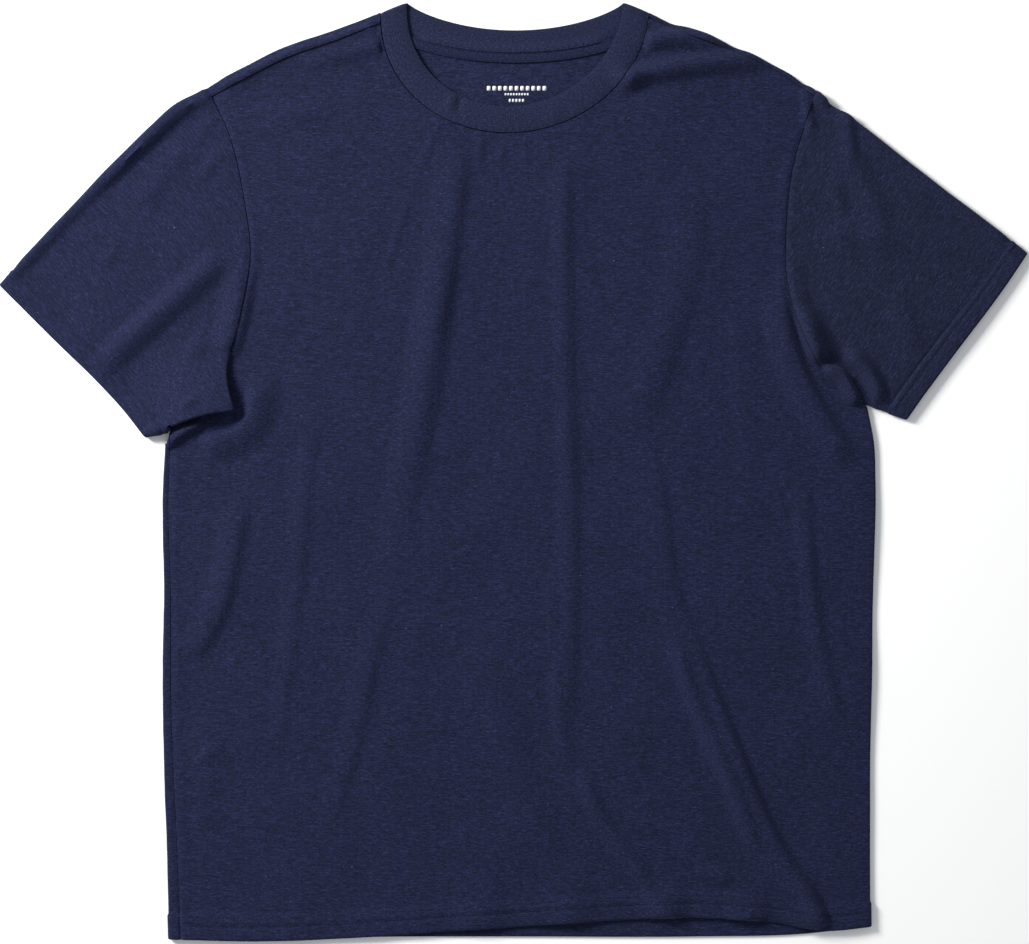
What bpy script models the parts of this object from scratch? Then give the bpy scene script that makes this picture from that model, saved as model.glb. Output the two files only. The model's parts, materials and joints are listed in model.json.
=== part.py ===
"""Crew neck T-shirt, men's size L, laid flat on its back with the front panel up.

Six sewn pieces: front and back panels, two sleeves, a rib neckband and a neck tape.
Each piece is worked out as a middle surface of cloth cells, which thicken() turns into a wall.
Tables and lengths are in millimetres. +X is the wearer's left, +Y the neck, +Z up, and the
shirt rests on Z = 0. "right" and "left" are the wearer's.
"""

from collections import namedtuple
import math

import bmesh
import bpy
import numpy as np

MM = 0.001

# Cloth walls and the air between them
CLOTH_WALL = 1.2
HEM_WALL = 2.0  # the hem's cloth is turned up and lies double
BAND_WALL = 1.8
TAPE_WALL = 1.0
SEAM_GAP = 0.34  # between two pieces at the seam that joins them
UNDERARM_INSET = 0.9  # of each piece from the underarm point, where its turned edge faces the others'
LAYER_GAP = 0.6  # between the back layer and the front layer that lies on it
FOLD_RADIUS = 1.2  # of the wall's middle, where cloth turns round an edge
FOLD_INSET = FOLD_RADIUS + CLOTH_WALL / 2  # from the outline in to where that turn begins
EDGE_REACH = 14.0  # how far the lift of a turned edge fades into the panel

# Hems
BODY_HEM = 17.5
CUFF_HEM = 13.5
HEM_STEP = 2.0

# How far the back panel comes over to the front, and the front panel under to the back
SHOULDER_ROLL = {"right": 7.8, "left": 3.4}
SIDE_ROLL_RIGHT = (9.3, 3.7)  # at the hem, at the underarm
SIDE_ROLL_LEFT = 6.5

# Cells across each piece
SHOULDER_CELLS = 8
NECK_CELLS = 20
BACK_NECK_CELLS = 10
SIDE_CELLS = 20
ARMHOLE_CELLS = 13
BACK_ARMHOLE_CELLS = {"right": 7, "left": 9}  # two more rows lie below the right one's bend
BAND_CELLS = 3
TAPE_CELLS = 14
LIP_CELLS = 5
LIP_STATIONS = 7
SLEEVE_STATIONS = {"right": 8, "left": 9}
TURN_CELLS = 4
PANEL_GRIP = 8.0
SHOULDER_SHARE = 0.18  # of the hem's width, that the columns ending on one shoulder take

# Outline corners: x, y
HEM_CORNER = {"right": (-272, -369), "left": (282, -359)}
UNDERARM = {"right": (-275, 17), "left": (279, 52)}
SHOULDER_TIP = {"right": (-242, 302.6), "left": (238, 299)}
NECK_POINT_Y = 361.8
BAND_TIP_Y = 370.4
NECK_POINT = {"right": (-104.7, NECK_POINT_Y), "left": (107, NECK_POINT_Y)}
BAND_TIP = {"right": (-83.5, BAND_TIP_Y), "left": (86.5, BAND_TIP_Y)}
CUFF_OUTER = {"right": (-405, 147), "left": (405, 172)}
CUFF_INNER = {"right": (-291, 28), "left": (310, 41)}

# Edges between those corners, each a smooth curve: the points that it passes on its way
SIDE_BY = {
    "right": ((-273, -323), (-277, -181), (-276, -100), (-277, -20)),
    "left": ((282, -228), (285, -60), (286, -8), (285, 20)),
}
SHOULDER_BY = {
    "right": ((-220, 314), (-182, 333), (-142, 347)),
    "left": ((218, 314), (177, 333), (139, 347)),
}
FRONT_HEM_BY = (
    (-200, -370.4),
    (-114, -367),
    (-45, -362),
    (5, -359),
    (80, -354),
    (150, -352),
    (207, -356),
    (245, -362),
)
BACK_HEM_BY = ((-200, -370.4), (-114, -367.5), (-11, -367), (147, -367), (228, -365))
ARMHOLE_BY = {
    "right": (
        (-226, 269),
        (-213, 215),
        (-208, 170),
        (-213, 135),
        (-223, 96),
        (-238, 66),
        (-253, 44),
        (-268, 35),
    ),
    "left": ((231, 277), (221, 243), (215, 190), (216, 150), (226, 115), (244, 80)),
}
BACK_ARMHOLE_BY = {
    "right": ((-229, 261), (-217, 198), (-222, 130)),
    "left": ((228, 261), (219, 198), (222, 140), (246, 82)),
}
SLEEVE_TOP_BY = {
    "right": ((-262, 291), (-285, 271), (-342, 214)),
    "left": ((251, 288), (275, 271), (307, 246), (354, 210)),
}
CUFF_BY = {
    "right": ((-361, 103), (-329, 72), (-306, 47)),
    "left": ((391, 151), (344, 88), (319, 54)),
}

# The right sleeve's slack at the underarm lies over the body as a lip, from the seam round its tip
LIP_TIP = (-220.5, 47)
LIP_HEART = (-246, 74)  # what its turned edge points to
LIP_FROM = 4  # the armhole point where it leaves the seam, counted from the underarm
LIP_EDGE_BY = ((-227, 81), (-225, 64))
LIP_UNDER_BY = ((-249, 42), (-236, 45))
NOTCH = (-271, 34)
BACK_SEAM_BEND = (-243, 77)  # the back armhole runs straight from the notch to here
LIP_HEIGHT = 10.0
LIP_REACH = 75.0
LIP_RETURN_SHARE = 0.3
RETURN_CLEARANCE = 0.4

# Neck edges, half ellipses between the neck points: half width, depth, start y, middle x, lean, fullness
NeckEdge = namedtuple("NeckEdge", "half_width depth start_y middle_x lean fullness")
FRONT_SEAM = NeckEdge(105.85, 95, NECK_POINT_Y, 1.15, -6.0, 0.50)
FRONT_RIM = NeckEdge(85.0, 82, BAND_TIP_Y, 1.5, -6.5, 0.50)
BACK_SEAM = NeckEdge(105.85, 32, NECK_POINT_Y, 1.15, 0.0, 0.57)
BACK_RIM = NeckEdge(85.0, 21.5, BAND_TIP_Y, 1.5, 0.0, 0.80)
TAPE_TOP = NeckEdge(105.0, 32, NECK_POINT_Y - 1.2, 1.15, 0.0, 0.57)
TAPE_WIDTH = 8.0
TAPE_HALF_LENGTH = 80.0

# Height of the front half of the band over its length: crossing the tape, then down on the back panel
BAND_OVER_TAPE = CLOTH_WALL + 0.3 + TAPE_WALL + 0.3 + BAND_WALL / 2
BAND_AT_MIDDLE = CLOTH_WALL + 0.3 + BAND_WALL / 2
BAND_TURN = (BAND_OVER_TAPE - BAND_WALL / 2) / 2
BAND_SINKS = (328, 300)  # y where it starts down, and where it lies down

# Folds: height, width down each side of the crest (to the left and right of its path), lengths over
# which it fades in and out, and the points that the crest runs through
Fold = namedtuple("Fold", "height left right fade_in fade_out path")
FOLDS = (
    # the long fold from the neckband down to the right of the hem
    Fold(2.8, 14, 26, 50, 90, ((-41, 267), (-45, 225), (-56, 143), (-69, 70))),
    Fold(3.6, 17, 22, 80, 180, ((-51, 190), (-58, 143), (-69, 70), (-85, -20), (-98, -110))),
    Fold(1.8, 14, 16, 90, 120, ((-92, -80), (-113, -150), (-121, -192), (-136, -249), (-160, -322))),
    # its narrow companion down the middle, which bends above the hem
    Fold(2.0, 13, 14, 50, 130, ((39, 262), (41, 102), (45, -36), (45, -118), (47, -228), (64, -262))),
    Fold(1.2, 20, 26, 60, 60, ((-30, -130), (-8, -200), (16, -262), (42, -322))),
    # from the left of the neck, soft, down to the crease that runs to the left of the hem
    Fold(1.7, 16, 26, 60, 70, ((146, 243), (141, 184), (130, 127), (107, 62), (90, 10))),
    Fold(4.4, 12, 26, 120, 12, ((101, 52), (115, -17), (129, -104), (147, -148), (201, -281), (245, -357))),
    Fold(3.0, 11, 12, 50, 30, ((124, -116), (143, -182), (169, -241), (183, -277), (196, -309))),
    # left flank
    Fold(2.3, 11, 12, 60, 70, ((227, 6), (231, -53), (238, -118), (248, -167), (264, -224))),
    # low at the middle of the hem
    Fold(3.0, 11, 13, 30, 30, ((50, -232), (74, -280), (94, -306), (118, -334))),
    # right flank
    Fold(2.8, 12, 20, 40, 20, ((-214, -10), (-220, -60), (-233, -112), (-256, -152))),
    Fold(1.3, 12, 14, 60, 100, ((-151, 62), (-163, 4), (-169, -69), (-179, -159), (-190, -249))),
    # shoulders: a ridge along each seam and one below it, with the hollow between
    Fold(3.4, 15, 13, 30, 8, ((-232, 296), (-216, 302), (-184, 316), (-140, 328), (-106, 337))),
    Fold(1.6, 14, 13, 30, 30, ((-204, 270), (-168, 282), (-128, 287))),
    Fold(4.4, 12, 11, 24, 30, ((104, 345), (125, 343), (152, 339), (182, 326))),
    Fold(5.0, 12, 14, 28, 34, ((80, 303), (125, 315), (166, 320), (207, 319))),
    # from the left armhole down into the flank
    Fold(4.6, 12, 20, 40, 24, ((206, 156), (214, 114), (231, 66), (250, 33), (270, 4))),
    # waves of the hem
    Fold(2.8, 26, 24, 6, 60, ((-24, -364), (-27, -300))),
    Fold(3.4, 26, 24, 6, 60, ((46, -360), (44, -300))),
    Fold(5.0, 22, 20, 3, 40, ((121, -353), (119, -312))),
    Fold(4.8, 22, 22, 3, 44, ((186, -355), (183, -312))),
    # across the right sleeve from the armhole towards the cuff's lower corner
    Fold(4.9, 16, 14, 26, 40, ((-221, 176), (-247, 154), (-283, 122), (-318, 90), (-336, 72))),
    Fold(1.6, 14, 14, 20, 30, ((-250, 262), (-275, 236), (-300, 200))),
    Fold(1.6, 12, 12, 20, 24, ((-236, 122), (-250, 98), (-264, 78))),
    # along the right armhole seam, which stands up above the underarm
    Fold(4.4, 16, 18, 60, 34, ((-213, 190), (-215, 152), (-219, 120), (-224, 100))),
    # beside the left armhole seam, then the two pinched lobes at the underarm
    Fold(4.6, 14, 11, 70, 12, ((219, 182), (222, 150), (230, 118), (237, 98), (242, 86))),
    Fold(3.4, 17, 12, 26, 8, ((226, 134), (231, 114), (238, 96), (243, 84))),
    Fold(6.0, 8, 9, 8, 4, ((243, 78), (252, 80), (260, 75), (266, 65), (272, 53))),
    Fold(6.0, 10, 9, 12, 14, ((258, 90), (267, 90), (276, 83), (284, 70), (291, 50))),
    Fold(2.6, 22, 16, 40, 60, ((242, 196), (290, 184), (353, 173))),
    Fold(2.2, 14, 15, 30, 40, ((250, 262), (272, 236), (286, 200), (292, 160))),
    Fold(2.0, 12, 14, 30, 40, ((300, 150), (312, 110), (318, 78))),
)

JERSEY = (0.0185, 0.0220, 0.0520, 1.0)
RIB = (0.0165, 0.0195, 0.0470, 1.0)
TAPE = (0.0150, 0.0180, 0.0430, 1.0)

CURVE_STEPS = 16


def smoothstep(value):
    value = np.clip(value, 0.0, 1.0)
    return value * value * (3.0 - 2.0 * value)


def smooth_curve(points):
    """A smooth curve through the points, as a dense polyline."""
    points = np.asarray(points, float)
    chords = np.linalg.norm(np.diff(points, axis=0), axis=1)
    slopes = np.diff(points, axis=0) / chords[:, None]
    tangents = np.vstack([slopes[:1], slopes])
    for k in range(1, len(points) - 1):
        tangents[k] = (slopes[k - 1] * chords[k] + slopes[k] * chords[k - 1]) / (chords[k - 1] + chords[k])
    tangents[-1] = slopes[-1]
    share = np.linspace(0.0, 1.0, CURVE_STEPS, endpoint=False)[:, None]
    stretches = []
    for k, chord in enumerate(chords):
        start, end = points[k], points[k + 1]
        stretches.append(
            start * (2 * share**3 - 3 * share**2 + 1)
            + end * (3 * share**2 - 2 * share**3)
            + tangents[k] * chord * (share**3 - 2 * share**2 + share)
            + tangents[k + 1] * chord * (share**3 - share**2)
        )
    return np.vstack(stretches + [points[-1:]])


def neck_curve(edge):
    """A neck edge from the right neck point to the left one."""
    turn = np.linspace(0.0, math.pi, 121)
    share = np.sin(turn) ** (2 * edge.fullness)
    x = edge.middle_x + edge.lean * share - edge.half_width * np.cos(turn)
    return np.column_stack([x, edge.start_y - edge.depth * share])


def travelled(curve):
    return np.concatenate([[0.0], np.cumsum(np.linalg.norm(np.diff(curve, axis=0), axis=1))])


def at_distances(curve, distances):
    """The curve's points at these distances from its start."""
    reached = travelled(curve)
    return np.column_stack([np.interp(distances, reached, curve[:, k]) for k in (0, 1)])


def evenly(curve, cells):
    return at_distances(curve, np.linspace(0.0, travelled(curve)[-1], cells + 1))


def hem_first(curve, hem, cells):
    """Points along a curve that starts at a hem: the hem, its inner step, then even cells."""
    length = travelled(curve)[-1]
    beyond = np.linspace(hem + HEM_STEP, length, cells + 1)
    return at_distances(curve, np.concatenate([[0.0, hem], beyond]))


def between(corner_from, by, corner_to):
    return smooth_curve([corner_from, *by, corner_to])


def run_on(*curves):
    """Curves that follow each other, as one list of points."""
    return np.vstack([curves[0]] + [curve[1:] for curve in curves[1:]])


Side = namedtuple("Side", "points inset")


def inset_outline(sides):
    """Moves each side of a closed outline inwards by its own inset, and mends the corners."""
    loop = np.vstack([side.points[:-1] for side in sides])
    following = np.roll(loop, -1, axis=0)
    area = np.sum(loop[:, 0] * following[:, 1] - following[:, 0] * loop[:, 1])
    turn = 1.0 if area > 0 else -1.0
    moved = []
    for side in sides:
        steps = np.diff(side.points, axis=0)
        steps /= np.linalg.norm(steps, axis=1)[:, None]
        normals = np.column_stack([-steps[:, 1], steps[:, 0]]) * turn
        mean = np.vstack([normals[:1], normals[:-1] + normals[1:], normals[-1:]])
        mean /= np.linalg.norm(mean, axis=1)[:, None]
        beside = np.vstack([normals[:1], normals])
        miter = 1.0 / np.maximum(np.sum(mean * beside, axis=1), 0.5)
        inset = np.broadcast_to(side.inset, len(side.points))
        moved.append((side.points + mean * (inset * miter)[:, None], normals, inset))
    outlines = [points.copy() for points, _, _ in moved]
    for k in range(len(sides)):
        _, normals_in, inset_in = moved[k - 1]
        _, normals_out, inset_out = moved[k]
        pair = np.array([normals_in[-1], normals_out[0]])
        lengths = np.array([inset_in[-1], inset_out[0]])
        if abs(np.linalg.det(pair)) > 0.15:
            shift = np.linalg.solve(pair, lengths)
        else:
            shift = pair.mean(axis=0) * lengths.mean()
        corner = sides[k].points[0] + shift
        outlines[k - 1][-1] = corner
        outlines[k][0] = corner
    return outlines


def fill(bottom, right, top, left, grip=1.0):
    """A grid of points between four sides: bottom and top run one way, left and right the other.

    Rows bend with the left and right sides, the less of the way in the higher the grip.
    """
    shares = []
    for side in (bottom, top, left, right):
        reached = travelled(side)
        shares.append(reached / reached[-1])
    across_low, across_high, up_left, up_right = shares
    across = ((across_low + across_high) / 2)[None, :, None]
    up = (1 - across[..., 0]) * up_left[:, None] + across[..., 0] * up_right[:, None]
    up = up[..., None]
    grid = (1 - up) * bottom[None] + up * top[None]
    for edge, line_share, hold, first in ((left, up_left, 1 - across, 0), (right, up_right, across, -1)):
        straight = (1 - line_share[:, None]) * bottom[first] + line_share[:, None] * top[first]
        grid = grid + hold**grip * (edge - straight)[:, None]
    return grid


def fill_from_hem(hem, right, top, left, hem_rows, grip=1.0):
    """The same, whose first rows are the hem's own line moved in, whatever the shape above it."""
    reached = travelled(hem)
    share = (reached / reached[-1])[:, None]
    rows = [hem]
    for k in range(1, hem_rows + 1):
        rows.append(hem + (1 - share) * (left[k] - left[0]) + share * (right[k] - right[0]))
    upper = fill(rows[-1], right[hem_rows:], top, left[hem_rows:], grip)
    return np.concatenate([np.array(rows[:-1]), upper])


def distance_to(points, curve):
    """Distance of each plan point from a polyline, its side of it, and how far along it is."""
    start, step = curve[:-1], np.diff(curve, axis=0)
    offset = points[:, None, :] - start[None]
    share = np.clip(np.sum(offset * step, axis=2) / np.sum(step * step, axis=1), 0.0, 1.0)
    away = offset - share[..., None] * step
    squared = np.sum(away * away, axis=2)
    nearest = np.argmin(squared, axis=1)
    rows = np.arange(len(points))
    side = step[nearest, 0] * away[rows, nearest, 1] - step[nearest, 1] * away[rows, nearest, 0]
    lengths = np.linalg.norm(step, axis=1)
    along = travelled(curve)[nearest] + share[rows, nearest] * lengths[nearest]
    return np.sqrt(squared[rows, nearest]), side > 0, along


def fold_height(points):
    """Height that the folds add at each plan point."""
    total = np.zeros(len(points))
    for fold in FOLDS:
        crest = smooth_curve(fold.path)
        distance, on_left, along = distance_to(points, crest)
        width = np.where(on_left, fold.left, fold.right)
        across = np.clip(1.0 - (distance / width) ** 2, 0.0, 1.0) ** 2
        length = travelled(crest)[-1]
        ends = smoothstep(along / fold.fade_in) * smoothstep((length - along) / fold.fade_out)
        total += fold.height * across * ends
    return total


def outline_curves(side):
    """The fold edges of one half of the shirt, which the front layer rises to."""
    shoulder = between(SHOULDER_TIP[side], SHOULDER_BY[side], NECK_POINT[side])
    flank = between(HEM_CORNER[side], SIDE_BY[side], UNDERARM[side])
    sleeve_top = between(SHOULDER_TIP[side], SLEEVE_TOP_BY[side], CUFF_OUTER[side])
    sleeve_under = smooth_curve([CUFF_INNER[side], NOTCH if side == "right" else UNDERARM[side]])
    return {"shoulder": shoulder, "flank": flank, "sleeve_top": sleeve_top, "sleeve_under": sleeve_under}


EDGES = {side: outline_curves(side) for side in ("right", "left")}


def edge_lift(points):
    """1 at a turned edge of the shirt, falling to 0 inside it."""
    lift = np.zeros(len(points))
    for curves in EDGES.values():
        for curve in curves.values():
            distance, _, _ = distance_to(points, curve)
            lift = np.maximum(lift, 1.0 - smoothstep((distance - FOLD_INSET) / EDGE_REACH))
    return lift


def front_height(plan, walls):
    """Height of the middle of the front layer's wall over each plan point."""
    points = plan.reshape(-1, 2)
    walls = np.broadcast_to(walls, plan.shape[:-1]).ravel()
    lift = 2 * FOLD_RADIUS - CLOTH_WALL - LAYER_GAP
    height = 1.5 * walls + LAYER_GAP + lift * edge_lift(points)
    return (height + fold_height(points)).reshape(plan.shape[:-1])


def raised(plan, heights):
    return np.concatenate([plan, np.broadcast_to(heights, plan.shape[:-1])[..., None]], axis=-1)


class Cloth:
    """The middle surface of one cloth piece: points, the wall at each, and the cells between them."""

    def __init__(self):
        self.points = []
        self.walls = []
        self.cells = []

    def add(self, points, walls):
        """Adds points and gives back their numbers in the same arrangement."""
        shape = points.shape[:-1]
        first = len(self.points)
        self.points.extend(points.reshape(-1, 3))
        self.walls.extend(np.broadcast_to(walls, shape).ravel())
        return np.arange(first, len(self.points)).reshape(shape)

    def weave(self, rows):
        """Cells between each row of numbers and the next."""
        for row, following in zip(rows[:-1], rows[1:]):
            for k in range(len(row) - 1):
                self.cells.append((row[k], row[k + 1], following[k + 1], following[k]))

    def turn(self, upper, lower, crest, radius=FOLD_RADIUS):
        """Turns the cloth round an edge, from the upper row of numbers over the crest to the lower one.

        The crest holds for a turn of the given radius; a higher stretch bulges out with its height.
        """
        top = np.array([self.points[k] for k in upper])
        bottom = np.array([self.points[k] for k in lower])
        walls = np.array([self.walls[k] for k in upper])
        bulge = raised(crest - (top + bottom)[:, :2] / 2, 0.0)
        radius_share = (top[:, 2:] - bottom[:, 2:]) / (2 * radius)
        rows = [upper]
        for k in range(1, TURN_CELLS):
            angle = math.pi * k / TURN_CELLS
            arc = (top + bottom) / 2 + (top - bottom) / 2 * math.cos(angle)
            rows.append(self.add(arc + bulge * radius_share * math.sin(angle), walls))
        rows.append(lower)
        self.weave(rows)


def thicken(cloth, name, material):
    """Makes the closed wall of a cloth piece, half its thickness to each side of the middle surface."""
    middle = bmesh.new()
    for point in cloth.points:
        middle.verts.new(point)
    middle.verts.ensure_lookup_table()
    for cell in cloth.cells:
        middle.faces.new([middle.verts[k] for k in cell])
    bmesh.ops.recalc_face_normals(middle, faces=middle.faces)
    middle.normal_update()

    wall = bmesh.new()
    outer, inner = [], []
    for vertex, thickness in zip(middle.verts, cloth.walls):
        half = vertex.normal * thickness / 2
        for skin, place in ((outer, vertex.co + half), (inner, vertex.co - half)):
            place.z = max(place.z, 0.0)
            skin.append(wall.verts.new(place * MM))
    for face in middle.faces:
        numbers = [vertex.index for vertex in face.verts]
        wall.faces.new([outer[k] for k in numbers])
        wall.faces.new([inner[k] for k in reversed(numbers)])
    for edge in middle.edges:
        if edge.is_boundary:
            first, second = (vertex.index for vertex in edge.verts)
            wall.faces.new([outer[first], outer[second], inner[second], inner[first]])
    middle.free()
    bmesh.ops.recalc_face_normals(wall, faces=wall.faces)
    mesh = bpy.data.meshes.new(name)
    wall.to_mesh(mesh)
    wall.free()
    mesh.materials.append(material)
    mesh.shade_smooth()
    mesh.set_sharp_from_angle(angle=math.radians(40))
    piece = bpy.data.objects.new(name, mesh)
    bpy.context.scene.collection.objects.link(piece)
    return piece


def cloth_material(name, colour, roughness):
    material = bpy.data.materials.new(name)
    material.use_nodes = True
    shader = material.node_tree.nodes["Principled BSDF"]
    shader.inputs["Base Color"].default_value = colour
    shader.inputs["Roughness"].default_value = roughness
    shader.inputs["Metallic"].default_value = 0.0
    material.diffuse_color = colour
    return material


def shoulder_side(side):
    """From the shoulder tip to the neck point, the same points on both panels."""
    return evenly(EDGES[side]["shoulder"], SHOULDER_CELLS)


def armhole_side(side):
    """From the underarm to the shoulder tip, the same points on panel and sleeve."""
    return evenly(between(UNDERARM[side], ARMHOLE_BY[side][::-1], SHOULDER_TIP[side]), ARMHOLE_CELLS)


def back_armhole_side(side):
    """From where the back seam bends, or the underarm, to the shoulder tip."""
    start = BACK_SEAM_BEND if side == "right" else UNDERARM[side]
    return evenly(between(start, BACK_ARMHOLE_BY[side][::-1], SHOULDER_TIP[side]), BACK_ARMHOLE_CELLS[side])


def hem_side(by, neck_cells):
    """The hem from right to left, with a point for each point of the shoulders and the neck."""
    curve = between(HEM_CORNER["right"], by, HEM_CORNER["left"])
    shoulder = np.linspace(0.0, SHOULDER_SHARE, SHOULDER_CELLS + 1)
    middle = np.linspace(SHOULDER_SHARE, 1 - SHOULDER_SHARE, neck_cells + 1)
    shares = np.concatenate([shoulder, middle[1:], (1 - shoulder[::-1])[1:]])
    return at_distances(curve, shares * travelled(curve)[-1])


def panel_outline(hem, flank, armhole, shoulder, neck, insets):
    """The eight sides of a panel from the hem round, moved in: insets names each side's distance."""
    names = ("hem", "flank_left", "armhole_left", "shoulder_left", "neck")
    names += ("shoulder_right", "armhole_right", "flank_right")
    points = (
        hem,
        flank["left"],
        armhole["left"],
        shoulder["left"],
        neck[::-1],
        shoulder["right"][::-1],
        armhole["right"][::-1],
        flank["right"][::-1],
    )
    sides = [Side(line, insets[name]) for name, line in zip(names, points)]
    return dict(zip(names, inset_outline(sides)))


def fill_panel(outline, hem_rows):
    """The panel's grid: rows run from the right to the left, and from the hem up to the neck."""
    top = run_on(outline["shoulder_left"], outline["neck"], outline["shoulder_right"])[::-1]
    left_edge = run_on(outline["armhole_right"], outline["flank_right"])[::-1]
    right_edge = run_on(outline["flank_left"], outline["armhole_left"])
    return fill_from_hem(outline["hem"], right_edge, top, left_edge, hem_rows, PANEL_GRIP)


def panel_walls(rows, hem_rows):
    walls = np.full(rows, CLOTH_WALL)
    walls[:hem_rows] = HEM_WALL
    return walls


def seam_insets(points):
    """Half the seam's gap, and more at the underarm, which comes first."""
    insets = np.full(len(points), SEAM_GAP / 2)
    insets[0] = UNDERARM_INSET
    return insets


def front_panel():
    hem_rows = 2
    flank = {
        side: hem_first(EDGES[side]["flank"], BODY_HEM, SIDE_CELLS) for side in ("right", "left")
    }
    hem = hem_side(FRONT_HEM_BY, NECK_CELLS)
    armhole = {side: armhole_side(side) for side in ("right", "left")}
    shoulder = {side: shoulder_side(side) for side in ("right", "left")}
    neck = evenly(neck_curve(FRONT_SEAM), NECK_CELLS)
    half_gap = SEAM_GAP / 2
    roll = np.interp(np.linspace(0, 1, len(flank["right"])), (0, 1), SIDE_ROLL_RIGHT) + half_gap
    insets = {
        "hem": 0.0,
        "flank_left": FOLD_INSET,
        "armhole_left": seam_insets(armhole["left"]),
        "shoulder_left": SHOULDER_ROLL["left"] + half_gap,
        "neck": half_gap,
        "shoulder_right": SHOULDER_ROLL["right"] + half_gap,
        "armhole_right": half_gap,
        "flank_right": roll[::-1],
    }
    parts = (hem, flank, armhole, shoulder, neck)
    plan = fill_panel(panel_outline(*parts, insets), hem_rows)
    walls = panel_walls(len(plan), hem_rows)[:, None]
    cloth = Cloth()
    grid = cloth.add(raised(plan, front_height(plan, walls)), walls)
    cloth.weave(grid)

    # Round the left flank and under, to the seam with the back panel
    side_rows = len(flank["left"])
    upper = grid[:side_rows, -1]
    side_walls = walls[:side_rows, 0]
    back_armhole = {side: back_armhole_side(side) for side in ("right", "left")}
    under_parts = (hem, flank, back_armhole, shoulder, neck)
    under_insets = {**insets, "armhole_left": seam_insets(back_armhole["left"]), "armhole_right": half_gap}
    under = panel_outline(*under_parts, under_insets)["flank_left"]
    crest = panel_outline(*parts, {**insets, "flank_left": CLOTH_WALL / 2})["flank_left"]
    seam = panel_outline(*under_parts, {**under_insets, "flank_left": SIDE_ROLL_LEFT})["flank_left"]
    lower = cloth.add(raised(under, side_walls / 2), side_walls)
    cloth.turn(upper, lower, crest)
    end = cloth.add(raised(seam, side_walls / 2), side_walls)
    cloth.weave([lower, end])
    return cloth


def back_panel():
    hem_rows = 2
    flank = {
        side: hem_first(EDGES[side]["flank"], BODY_HEM, SIDE_CELLS) for side in ("right", "left")
    }
    hem = hem_side(BACK_HEM_BY, BACK_NECK_CELLS)
    armhole = {side: back_armhole_side(side) for side in ("right", "left")}
    armhole["right"] = run_on(np.array([UNDERARM["right"], NOTCH, BACK_SEAM_BEND]), armhole["right"])
    shoulder = {side: shoulder_side(side) for side in ("right", "left")}
    neck = evenly(neck_curve(BACK_SEAM), BACK_NECK_CELLS)
    half_gap = SEAM_GAP / 2
    insets = {
        "hem": 0.0,
        "flank_left": SIDE_ROLL_LEFT + SEAM_GAP,
        "armhole_left": seam_insets(armhole["left"]),
        "shoulder_left": FOLD_INSET,
        "neck": half_gap,
        "shoulder_right": FOLD_INSET,
        "armhole_right": np.array([half_gap] * (len(armhole["right"]) - 1) + [FOLD_INSET]),
        "flank_right": FOLD_INSET,
    }
    roll = np.interp(np.linspace(0, 1, len(flank["right"])), (0, 1), SIDE_ROLL_RIGHT) - half_gap
    at_crest = dict.fromkeys(("shoulder_left", "shoulder_right", "flank_right"), CLOTH_WALL / 2)
    at_seam = {
        "shoulder_left": SHOULDER_ROLL["left"] - half_gap,
        "shoulder_right": SHOULDER_ROLL["right"] - half_gap,
        "flank_right": roll[::-1],
    }
    parts = (hem, flank, armhole, shoulder, neck)
    plan = fill_panel(panel_outline(*parts, insets), hem_rows)
    walls = panel_walls(len(plan), hem_rows)[:, None]
    cloth = Cloth()
    grid = cloth.add(raised(plan, walls / 2), walls)
    cloth.weave(grid)

    # Over the shoulders and the right flank to the seams with the front panel
    front_armhole = {side: armhole_side(side) for side in ("right", "left")}
    front_neck = evenly(neck_curve(FRONT_SEAM), NECK_CELLS)
    over_parts = (hem, flank, front_armhole, shoulder, front_neck)
    over_insets = {**insets, "armhole_right": half_gap, "armhole_left": half_gap}
    starts = panel_outline(*over_parts, over_insets)
    crests = panel_outline(*over_parts, {**over_insets, **at_crest})
    seams = panel_outline(*over_parts, {**over_insets, **at_seam})
    side_rows = len(flank["right"])
    borders = {
        "shoulder_left": (grid[-1, ::-1][: SHOULDER_CELLS + 1], np.full(SHOULDER_CELLS + 1, CLOTH_WALL)),
        "shoulder_right": (grid[-1, SHOULDER_CELLS::-1], np.full(SHOULDER_CELLS + 1, CLOTH_WALL)),
        "flank_right": (grid[:side_rows, 0][::-1], walls[:side_rows, 0][::-1]),
    }
    for name, (lower, border_walls) in borders.items():
        start = starts[name]
        upper = cloth.add(raised(start, front_height(start, border_walls)), border_walls)
        cloth.turn(upper, lower, crests[name])
        seam = seams[name]
        end = cloth.add(raised(seam, front_height(seam, border_walls)), border_walls)
        cloth.weave([upper, end])
    return cloth


def lip_lift(points):
    distance = np.linalg.norm(points - np.array(LIP_TIP, float), axis=-1)
    return LIP_HEIGHT * smoothstep(1.0 - distance / LIP_REACH)


def sleeve_stations(curve, cells, start=0.0):
    """Points from the cuff up: the cuff's hem, its step, then even cells."""
    length = travelled(curve)[-1] - start
    distances = np.concatenate([[0.0, CUFF_HEM], np.linspace(CUFF_HEM + HEM_STEP, length, cells + 1)])
    return at_distances(curve, distances)


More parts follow.
